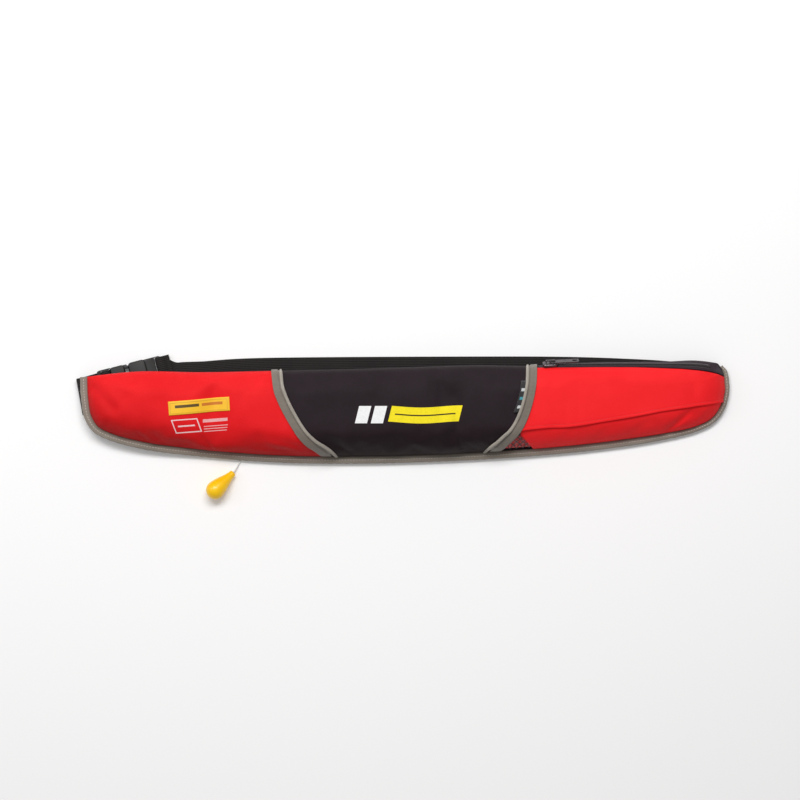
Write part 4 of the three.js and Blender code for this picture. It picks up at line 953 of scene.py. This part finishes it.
back_points = on_back(patch(*COVER, both_ends(240), both_ends(56)))
ripple = np.sin(back_points[..., 0] * 55 + np.sin(back_points[..., 1] * 130)) * 0.25 * MM
back_points[..., 2] += np.maximum(ripple, 0) * np.sin(np.pi * even(56))[None, :] ** 2
back = wall("back_cloth", back_points, outward=-1)
dressed(back, nylon_dark, "back_panel")


# Bound edge
# A grey woven tape is folded over the raw edges all round the bottom and both ends, and sewn through
# with one row of pale stitches. Its inner edge presses the cloth in and makes a dark crevice.
BINDING_COVER = 0.9 * MM
bind_shares = np.linspace(0, 1, 620)
bind_width = binding_width(bind_shares) + BINDING_COVER
bind_half = BINDING_THICKNESS / 2
bind_profile = [  # share of the width, millimetres inwards, share of the half thickness
    (1, 0, -0.6), (1, -0.5, -1), (0, 1.3, -1), (0, 0.3, -0.62), (0, 0, 0), (0, 0.3, 0.62), (0, 1.3, 1.0),
    (0.35, 0, 1.14), (0.7, 0, 1.14), (1, -0.9, 1.02), (1, -0.2, 0.8), (1, 0, 0.3),
]
bind_run = bind_shares * run_of(edge_line)[-1]
pucker = np.sin(bind_run * 2 * math.pi / (9 * MM)) * np.sin(bind_run * 61)
bind_points, bind_uv = [], []
for width_share, inwards, height_share in bind_profile:
    inset = bind_width * width_share + inwards * MM
    places = edge_point(bind_shares, inset + 0.16 * MM * pucker * (width_share < 0.5))
    height = flange_height(edge_point(bind_shares, bind_width)[:, 0]) + bind_half * height_share
    bind_points.append(np.column_stack([places, height + 0.12 * MM * pucker]))
    bind_uv.append(np.stack([bind_run, inset * np.sign(height_share + 0.01)], axis=1))
binding = grid("edge_binding_tape", np.stack(bind_points, axis=1)[::-1], np.stack(bind_uv, axis=1)[::-1],
               round_v=True, capped=True)


def tape(name, light, dark, ribs):
    """Woven tape with fine ribs across it."""
    finish = Finish(name, Sheen_Weight=0.3, Specular_IOR_Level=0.3)
    u, v, _ = finish.parts("UV")
    rib = (u * ribs + (v * 4200).sine() * 0.9).sine()
    yarn = (v * 5200).sine()
    grain = finish.noise(1100.0)
    soil = finish.noise(40.0)
    finish.colors(rib * 0.16 + yarn * 0.06 + grain * 0.55 + soil * 0.5 - 0.05, dark, light)
    finish.roughness(grain * 0.2 + 0.6)
    finish.bump(rib * 0.5 + yarn * 0.25 + grain * 0.8, 0.22 * MM, 0.8)
    return finish


grey_tape = tape("grey_binding_tape", rgb(168, 157, 144), rgb(116, 107, 98), 5200)
dressed(binding, grey_tape, "perimeter_binding")

stitcher = Maker("stitch_row", ["Spacing", "Length", "Thickness"])
seam_curve = stitcher.node("GeometryNodeMeshToCurve", None, {"Mesh": stitcher.size("Geometry")})
seam_points = stitcher.node("GeometryNodeResampleCurve", {"mode": "LENGTH"},
                            {"Curve": seam_curve, "Length": stitcher.size("Spacing")})
facing = stitcher.node("FunctionNodeAlignRotationToVector", {"axis": "X"},
                       {"Vector": stitcher.node("GeometryNodeInputTangent")})
thread_size = stitcher.node("ShaderNodeCombineXYZ", None,
                            [stitcher.size("Length"), stitcher.size("Thickness"), stitcher.size("Thickness")])
bead = stitcher.node("GeometryNodeMeshIcoSphere", None, {"Radius": 0.5, "Subdivisions": 2})
stitcher.ends_in(stitcher.node("GeometryNodeInstanceOnPoints", None, {
    "Points": seam_points, "Instance": bead, "Rotation": facing, "Scale": thread_size}))


def thread(name, color):
    finish = Finish(name, Roughness=0.5, Sheen_Weight=0.2)
    twist = finish.noise(2600.0)
    finish.colors(twist, tuple(0.7 * c for c in color[:3]) + (1,), color)
    finish.bump(twist, 0.05 * MM)
    return finish


def stitched(name, line, finish, spacing=3.0, length=2.2, thickness=0.55):
    """A row of stitches along a line, with its sizes in millimetres."""
    row = stitcher.make(threads(name, [line]), finish, Spacing=spacing * MM, Length=length * MM,
                        Thickness=thickness * MM)
    dressed(row, finish)


pale_thread = thread("pale_thread", rgb(226, 221, 210))
red_thread = thread("red_thread", rgb(232, 44, 48))
grey_thread = thread("grey_thread", rgb(150, 142, 131))
dark_thread = thread("dark_thread", rgb(74, 66, 70))
mid_shares = np.linspace(0.004, 0.996, 900)
mid_width = binding_width(mid_shares)
mid_height = flange_height(edge_point(mid_shares, mid_width)[:, 0])
bind_row = np.column_stack([edge_point(mid_shares, mid_width * 0.55), mid_height + bind_half * 1.18])
stitched("binding_stitches", bind_row, pale_thread, 3.1, 2.1, 0.7)
under_row = np.column_stack([bind_row[:, :2], mid_height - bind_half])
stitched("binding_under_stitches", under_row, pale_thread, 3.1, 2.1, 0.7)

flap_row = raised(flap_points, 0.65 * MM)
flap_row = np.array([column[np.argmin(np.abs(h - HEM_ROW))] for column, h in zip(flap_row, hem)])
stitched("flap_stitches", curve_through(flap_row[3:-2:4], 1.5 * MM), red_thread)
seam_x = along(np.linspace(0.713, 0.973, 120))
seam_row = on_front(np.stack([seam_x, seam_over(seam_x) - 3.4 * MM], axis=-1)[:, None])[:, 0]
stitched("seam_stitches", seam_row + [0, 0, 0.15 * MM], red_thread, 3.0, 2.0, 0.45)


# Grey trims
# Each join of the front panels is covered by a band of ribbed grey tape. A smooth rounded piping runs
# along its black side, with a row of stitches in the groove between them.
TRIM_WIDTH = 10.6 * MM
TRIM_SEAT = 0.6 * MM
TRIM_THICKNESS = 1.0 * MM
PIPING_ASIDE, PIPING_RADIUS = 4.9 * MM, 1.75 * MM
grey_trim = tape("grey_trim_tape", rgb(150, 140, 128), rgb(92, 85, 77), 4300)
grey_piping = tape("grey_piping", rgb(196, 188, 175), rgb(150, 141, 129), 9000)


def trimmed(name, trim, side, node):
    """The band, its piping on the black side, and the stitches between them."""
    steps, shifts = mix(0.004, 1.0, even(90)), mix(-TRIM_WIDTH / 2, TRIM_WIDTH / 2, even(14))
    places = np.stack([trim(steps, shift) for shift in shifts], axis=1)
    aside = side * shifts / (TRIM_WIDTH / 2)
    settle = smoothstep(steps, 0, 0.08)  # the foot goes under the binding
    groove_depth = 1.1 * MM * np.exp(-(((aside - 0.5) / 0.13) ** 2))
    lift = (TRIM_SEAT + TRIM_THICKNESS) * mix(0.2, 1, settle)[:, None] - groove_depth
    band = wall(name + "_band", raised(on_front(places), -lift)[:, ::-1], TRIM_THICKNESS)
    dressed(band, grey_trim, node)
    centre = on_front(np.stack([trim(steps, side * PIPING_ASIDE)], axis=1))[:, 0]
    centre = centre + np.column_stack([0 * steps, 0 * steps, mix(0.2, 1.8, settle) * MM])
    tip = centre[-1] + np.array([0, 1.4, -0.6]) * MM
    radius = PIPING_RADIUS * np.minimum(1, np.sqrt(np.linspace(0.3, 30, len(centre) + 1)[::-1]))
    piping = tube(name + "_piping", np.vstack([centre, tip]), radius, 14)
    dressed(piping, grey_piping)
    for row, shift, rise in (("groove", 2.6, 0.9), ("outer", -4.4, 1.75)):
        seam = on_front(np.stack([trim(steps[4:-2], side * shift * MM)], axis=1))[:, 0]
        stitched(f"{name}_{row}_stitches", seam + [0, 0, rise * MM], grey_thread,
                 2.8, 1.9, 0.45)


trimmed("left_trim", left_trim, 1, "trim_left")
trimmed("right_trim", right_trim, -1, "trim_right")


# Woven tab and label
# A small folded black ribbon is caught under the right trim, with three plain woven stripes. A flat
# yellow label with a dark rim and two plain bars is sewn on the left panel.
tab_steps, tab_shifts = mix(0.53, 0.847, even(24)), mix(-5.3 - 6.0, -5.3 + 2.0, even(8)) * MM
tab_places = np.stack([right_trim(tab_steps, shift) for shift in tab_shifts], axis=1)
curl = (1 - even(8)) ** 2 * 0.5 * MM
tab_points = raised(on_front(tab_places), -(2.4 * MM + curl))
tab = wall("side_tab_ribbon", tab_points[:, ::-1], 0.6 * MM)
ribbon = Finish("ribbon_black", Roughness=0.55, Sheen_Weight=0.3)
u, v, _ = ribbon.parts("UV")
fibre = (u * 9000).sine() * (v * 9000).sine()
pale = bar(u, v, 0.0045, 0.0078, 0.0016, 0.0070) + bar(u, v, 0.0235, 0.0268, 0.0016, 0.0070)
teal = bar(u, v, 0.0142, 0.0172, 0.0016, 0.0070)
woven = ribbon.mix(fibre * 0.5 + 0.5, rgb(20, 19, 21), rgb(44, 42, 46))
woven = ribbon.mix(pale * 0.85, woven, rgb(228, 232, 232))
ribbon.colors(teal * 0.8, woven, rgb(70, 176, 190))
ribbon.bump(fibre, 0.1 * MM)
dressed(tab, ribbon, "side_tab")

LABEL_LENGTH, LABEL_HEIGHT, LABEL_TILT = 67 * MM, 14.5 * MM, math.radians(4)
label_u = (even(44) - 0.5) * LABEL_LENGTH
label_v = (even(14) - 0.5) * LABEL_HEIGHT
label_places = np.stack(np.broadcast_arrays(
    along(0.186) + label_u[:, None] * math.cos(LABEL_TILT) - label_v[None, :] * math.sin(LABEL_TILT),
    up(0.598) + label_u[:, None] * math.sin(LABEL_TILT) + label_v[None, :] * math.cos(LABEL_TILT)), axis=-1)
label = wall("front_label_cloth", raised(on_front(label_places), 0.75 * MM), 0.6 * MM)
label_yellow = Finish("label_yellow", Roughness=0.5, Sheen_Weight=0.15)
u, v, _ = label_yellow.parts("UV")
satin = (u * 9500 + v * 4000).sine()
cloud = label_yellow.noise(90.0)
field = label_yellow.mix(cloud + satin * 0.08, rgb(244, 176, 16), rgb(255, 206, 44))
inner = bar(u, v, 0.0016, 0.0644, 0.0014, 0.0131) - bar(u, v, 0.0021, 0.0639, 0.0019, 0.0126)
bars = bar(u, v, 0.0070, 0.0330, 0.0072, 0.0103)
brown = bar(u, v, 0.0360, 0.0590, 0.0072, 0.0103)
field = label_yellow.mix(inner * 0.35 + bars * 0.92, field, rgb(52, 40, 22))
label_yellow.colors(brown * 0.75, field, rgb(190, 74, 30))
label_yellow.bump(satin * 0.4 + cloud, 0.08 * MM, 0.6)
dressed(label, label_yellow, "front_label")


# Belt and side strap
# Both are 40 mm polyester webbing with ribs along it. The strap is sewn under the pouch's left end,
# turns back at a fold and passes over the buckle's middle bar. The belt's tail is turned round the
# buckle's end bar, and the belt lies flat behind the pouch to a plain sewn end.
STRAP_ROUTE = [  # millimetres, and the turn in plan of the line across the webbing, in degrees
    (-270.21, 21.49, 11.20, 95.5), (-307.04, 17.95, 11.20, 95.5), (-323.72, 16.34, 11.20, 95.5),
    (-336.86, 15.08, 10.00, 95.5), (-343.87, 14.40, 9.70, 100), (-345.70, 14.08, 9.29, 100),
    (-347.19, 13.82, 8.13, 100), (-348.06, 13.66, 6.44, 100), (-348.14, 13.65, 4.54, 100),
    (-347.42, 13.78, 2.78, 100), (-346.04, 14.02, 1.49, 100), (-344.25, 14.33, 0.92, 100),
    (-326.05, 18.70, 0.90, 104.5), (-320.37, 20.17, 1.10, 104.5), (-319.56, 20.38, 2.80, 104.5),
    (-319.56, 20.38, 6.80, 104.5), (-318.75, 20.59, 8.20, 104.5), (-313.21, 22.02, 8.20, 104.5),
    (-312.40, 22.23, 6.80, 104.5), (-312.40, 22.23, 2.80, 104.5), (-311.58, 22.44, 1.10, 104.5),
    (-295.63, 26.57, 0.90, 104.5),
]
BELT_ROUTE = [
    (-247.63, 38.98, 3.30, 104.5), (-251.98, 37.85, 3.90, 104.5), (-255.76, 36.88, 7.80, 104.5),
    (-261.05, 35.51, 8.20, 104.5), (-261.86, 35.30, 6.80, 104.5), (-261.86, 35.30, 2.80, 104.5),
    (-261.05, 35.51, 1.10, 104.5), (-255.37, 36.98, 0.90, 104.5), (-239.90, 30.62, 0.90, 102.9),
    (-234.99, 30.88, 0.90, 99.4), (-228.94, 31.22, 0.90, 95.8), (-222.00, 31.64, 0.90, 93.8),
    (-214.35, 32.18, 0.90, 94.6), (-205.92, 32.90, 0.90, 95.1), (-196.59, 33.71, 0.90, 94.7),
    (-186.27, 34.49, 0.90, 93.8), (-174.86, 35.11, 0.90, 92.4), (-163.40, 35.55, 0.90, 91.9),
    (-151.79, 35.87, 0.90, 91.3), (-138.25, 36.12, 0.90, 90.9), (-121.02, 36.35, 0.90, 90.7),
    (-98.27, 36.59, 0.90, 90.5), (-69.60, 36.82, 0.90, 90.4), (-37.23, 37.02, 0.90, 90.3),
    (-3.60, 37.18, 0.90, 90.2), (28.84, 37.30, 0.90, 90.1), (60.94, 37.39, 0.90, 90.2),
    (93.97, 37.46, 0.90, 90.1), (126.14, 37.46, 0.90, 89.9), (155.65, 37.33, 0.90, 89.5),
    (181.01, 37.00, 0.90, 88.9), (203.14, 36.46, 0.90, 88.3), (222.61, 35.80, 0.90, 87.8),
    (239.76, 35.07, 0.90, 87.4), (254.94, 34.38, 0.90, 87.4), (267.59, 33.72, 0.90, 86.6),
    (277.59, 33.05, 0.90, 85.7), (285.95, 32.37, 0.90, 85.1), (293.69, 31.70, 0.90, 85.1),
    (301.70, 31.03, 0.90, 85.1), (309.72, 30.31, 0.90, 84.7), (317.12, 29.60, 0.90, 84.4),
    (323.32, 28.99, 0.90, 84.3), (327.74, 28.56, 0.90, 84.7),
]

WEBBING_STEP = 1.2 * MM
TURN_WEIGHT = 1e-6  # keeps the turns out of the line's length
SPREAD = 0.065  # the webbing is crushed wider in the slots of the buckle


def webbing(name, route, finish, node, buckle_at):
    """Webbing laid along a route: its line, and its rounded section of fixed width and thickness."""
    line = curve_through(np.array(route) * [MM, MM, MM, TURN_WEIGHT], WEBBING_STEP)
    tangent = unit(np.gradient(line[:, :3], axis=0))
    turn = np.radians(line[:, 3] / TURN_WEIGHT)
    across = np.column_stack([np.cos(turn), np.sin(turn), 0 * turn])
    normal = unit(np.cross(tangent, across))
    sides, edge = np.linspace(-1, 1, 21), np.linspace(0, math.pi, 7)[1:-1]
    half, body = STRAP_THICKNESS / 2, STRAP_WIDTH / 2 - STRAP_THICKNESS / 2
    section = [(s * body, half) for s in sides]
    section += [(body + half * math.sin(e), half * math.cos(e)) for e in edge]
    section += [(-a, -h) for a, h in section]
    run = run_of(line[:, :3])
    spread = 1 + SPREAD * (1 - smoothstep(np.abs(run - run[-1] * buckle_at), 30 * MM, 80 * MM))[:, None]
    points, uv = [], []
    for a, h in section:
        points.append(line[:, :3] + across * a * spread + normal * h)
        uv.append(np.column_stack([run, 0 * run + a]))
    obj = grid(name, np.stack(points, axis=1), np.stack(uv, axis=1), round_v=True, capped=True)
    dressed(obj, finish, node)
    return line


ribbed_black = Finish("webbing_black", Sheen_Weight=0.06, Sheen_Roughness=0.4, Specular_IOR_Level=0.15)
u, v, _ = ribbed_black.parts("UV")
rib = (v * 3300).sine()
pick = (u * 4200 + (v * 3300).sine() * 1.5).sine()
fuzz = ribbed_black.noise(900.0, 2.0)
shade = ribbed_black.noise(30.0)
fade = rib * 0.2 + pick * 0.14 + fuzz * 0.4 + shade * 0.3
ribbed_black.colors(fade, rgb(24, 22, 22), rgb(60, 56, 55))
ribbed_black.roughness(fuzz * 0.2 + 0.5)
ribbed_black.bump(rib * 0.7 + pick * 0.4 + fuzz * 0.4, 0.3 * MM, 0.8)
webbing("side_strap_webbing", STRAP_ROUTE, ribbed_black, "side_strap", 1)
belt_line = webbing("belt_webbing_ribbed", BELT_ROUTE, ribbed_black, "belt_webbing", 0)

for back_by in (4, 15):  # the belt's plain end is sewn to the pouch
    end = belt_line[-1 - int(back_by * MM / WEBBING_STEP)]
    turn = np.radians(end[3] / TURN_WEIGHT)
    way = np.array([math.cos(turn), math.sin(turn), 0]) * STRAP_WIDTH * 0.46
    row = end[:3] + np.linspace(-1, 1, 40)[:, None] * way + [0, 0, -STRAP_THICKNESS / 2]
    stitched(f"belt_end_stitches_{back_by}", row, dark_thread, 2.6, 1.9, 0.45)


# Buckle
# A black moulded side-release buckle joins the strap and the belt. Its male half has two bars for the
# strap and springy prongs, and its female half a hollow shell with a window and a slot for the belt.
def moulded(name, node, round_off):
    """A solid of the frame, copied, with its edges rounded off."""
    shape = bmesh.new()
    shape.from_mesh(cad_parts[node].data)
    bmesh.ops.remove_doubles(shape, verts=shape.verts, dist=0.02 * MM)
    bmesh.ops.dissolve_limit(shape, angle_limit=math.radians(4), verts=shape.verts, edges=shape.edges)
    mesh = bpy.data.meshes.new(name)
    shape.to_mesh(mesh)
    shape.free()
    obj = linked(name, mesh)
    bevel = obj.modifiers.new("rounded edges", "BEVEL")
    bevel.width, bevel.segments = round_off, 3
    bevel.limit_method, bevel.angle_limit = "ANGLE", math.radians(30)
    obj.data = bpy.data.meshes.new_from_object(evaluated(obj))
    obj.modifiers.clear()
    obj.data.polygons.foreach_set("use_smooth", [True] * len(obj.data.polygons))
    obj.data.set_sharp_from_angle(angle=math.radians(38))
    return obj


buckle_black = Finish("buckle_black", Specular_IOR_Level=0.5)
mould_grain = buckle_black.noise(2400.0, 2.0)
rubbed = buckle_black.noise(55.0, 5.0, 0.65)
buckle_black.colors(rubbed * 0.9, rgb(14, 13, 13), rgb(38, 35, 33))
buckle_black.roughness(rubbed * 0.3 + mould_grain * 0.1 + 0.24)
buckle_black.bump(mould_grain, 0.05 * MM, 0.6)
for node, round_off in (("buckle_male", 0.55), ("buckle_female", 0.6)):
    dressed(moulded(node + "_half", node, round_off * MM), buckle_black, node)


# Zip
# A nylon coil zip on a woven tape is sewn into the gusset. Its metal slider, painted dark and worn
# bright along its edges, carries a small pull that swings on a pin.
ZIP_FROM, ZIP_TO = along(0.7345), along(0.966)
zip_x = np.linspace(ZIP_FROM, ZIP_TO, 200)
zip_shares = np.array([0.30, 0.38, 0.46, 0.5, 0.54, 0.62, 0.70])
zip_y = mix(seam_over(zip_x)[:, None], top_over(zip_x)[:, None], zip_shares)
zip_places = np.stack(np.broadcast_arrays(zip_x[:, None], zip_y), axis=-1)
tape_points = raised(on_front(zip_places), 0.5 * MM)
zip_tape = wall("zip_tape_woven", tape_points, 0.5 * MM)
zip_black = Finish("zip_tape_black", Roughness=0.6, Sheen_Weight=0.2)
u, v, _ = zip_black.parts("UV")
weft = (u * 7000).sine() * (v * 7000).sine()
zip_black.colors(weft * 0.5 + 0.5, rgb(38, 33, 36), rgb(70, 61, 66))
zip_black.bump(weft, 0.1 * MM)
dressed(zip_tape, zip_black)

coil_black = Finish("zip_coil_nylon", Specular_IOR_Level=0.5)
coil_grain = coil_black.noise(1800.0)
coil_black.colors(coil_grain, rgb(34, 30, 32), rgb(74, 66, 70))
coil_black.roughness(coil_grain * 0.25 + 0.22)
rows = [raised(on_front(zip_places), 1.1 * MM)[:, column] for column in (2, 4)]
rows[1] = rows[1] + [0.55 * MM, 0, 0]
teeth = stitcher.make(threads("zip_coil_teeth", rows), coil_black, Spacing=1.1 * MM, Length=0.8 * MM,
                      Thickness=1.7 * MM)
dressed(teeth, coil_black, "zip_coil")

worn_metal = Finish("zip_metal_painted")
flaked = worn_metal.noise(160.0, 3.0, 0.5)
worn_metal.colors(flaked, rgb(66, 60, 64), rgb(112, 105, 108))
worn_metal.feed(worn_metal.shader.inputs["Metallic"], flaked * 0.4 + 0.55)
worn_metal.roughness(flaked * 0.2 + 0.18)
worn_metal.bump(flaked, 0.05 * MM, 0.3)
dressed(moulded("zip_slider_body", "zip_slider", 0.4 * MM), worn_metal, "zip_slider")
dressed(moulded("zip_pull_plate", "zip_pull_tab", 0.3 * MM), worn_metal,
        "zip_pull_tab", "zip_pull")


# Eyelet
# A small dark plated eyelet is pressed into the back, and the pull cord goes through it.
plated = Finish("eyelet_plated", Metallic=1.0)
tarnish = plated.noise(700.0)
plated.colors(tarnish, rgb(70, 66, 64), rgb(120, 114, 110))
plated.roughness(tarnish * 0.3 + 0.2)
dressed(moulded("cord_eyelet_ring", "cord_eyelet", 0.3 * MM), plated, "cord_eyelet")
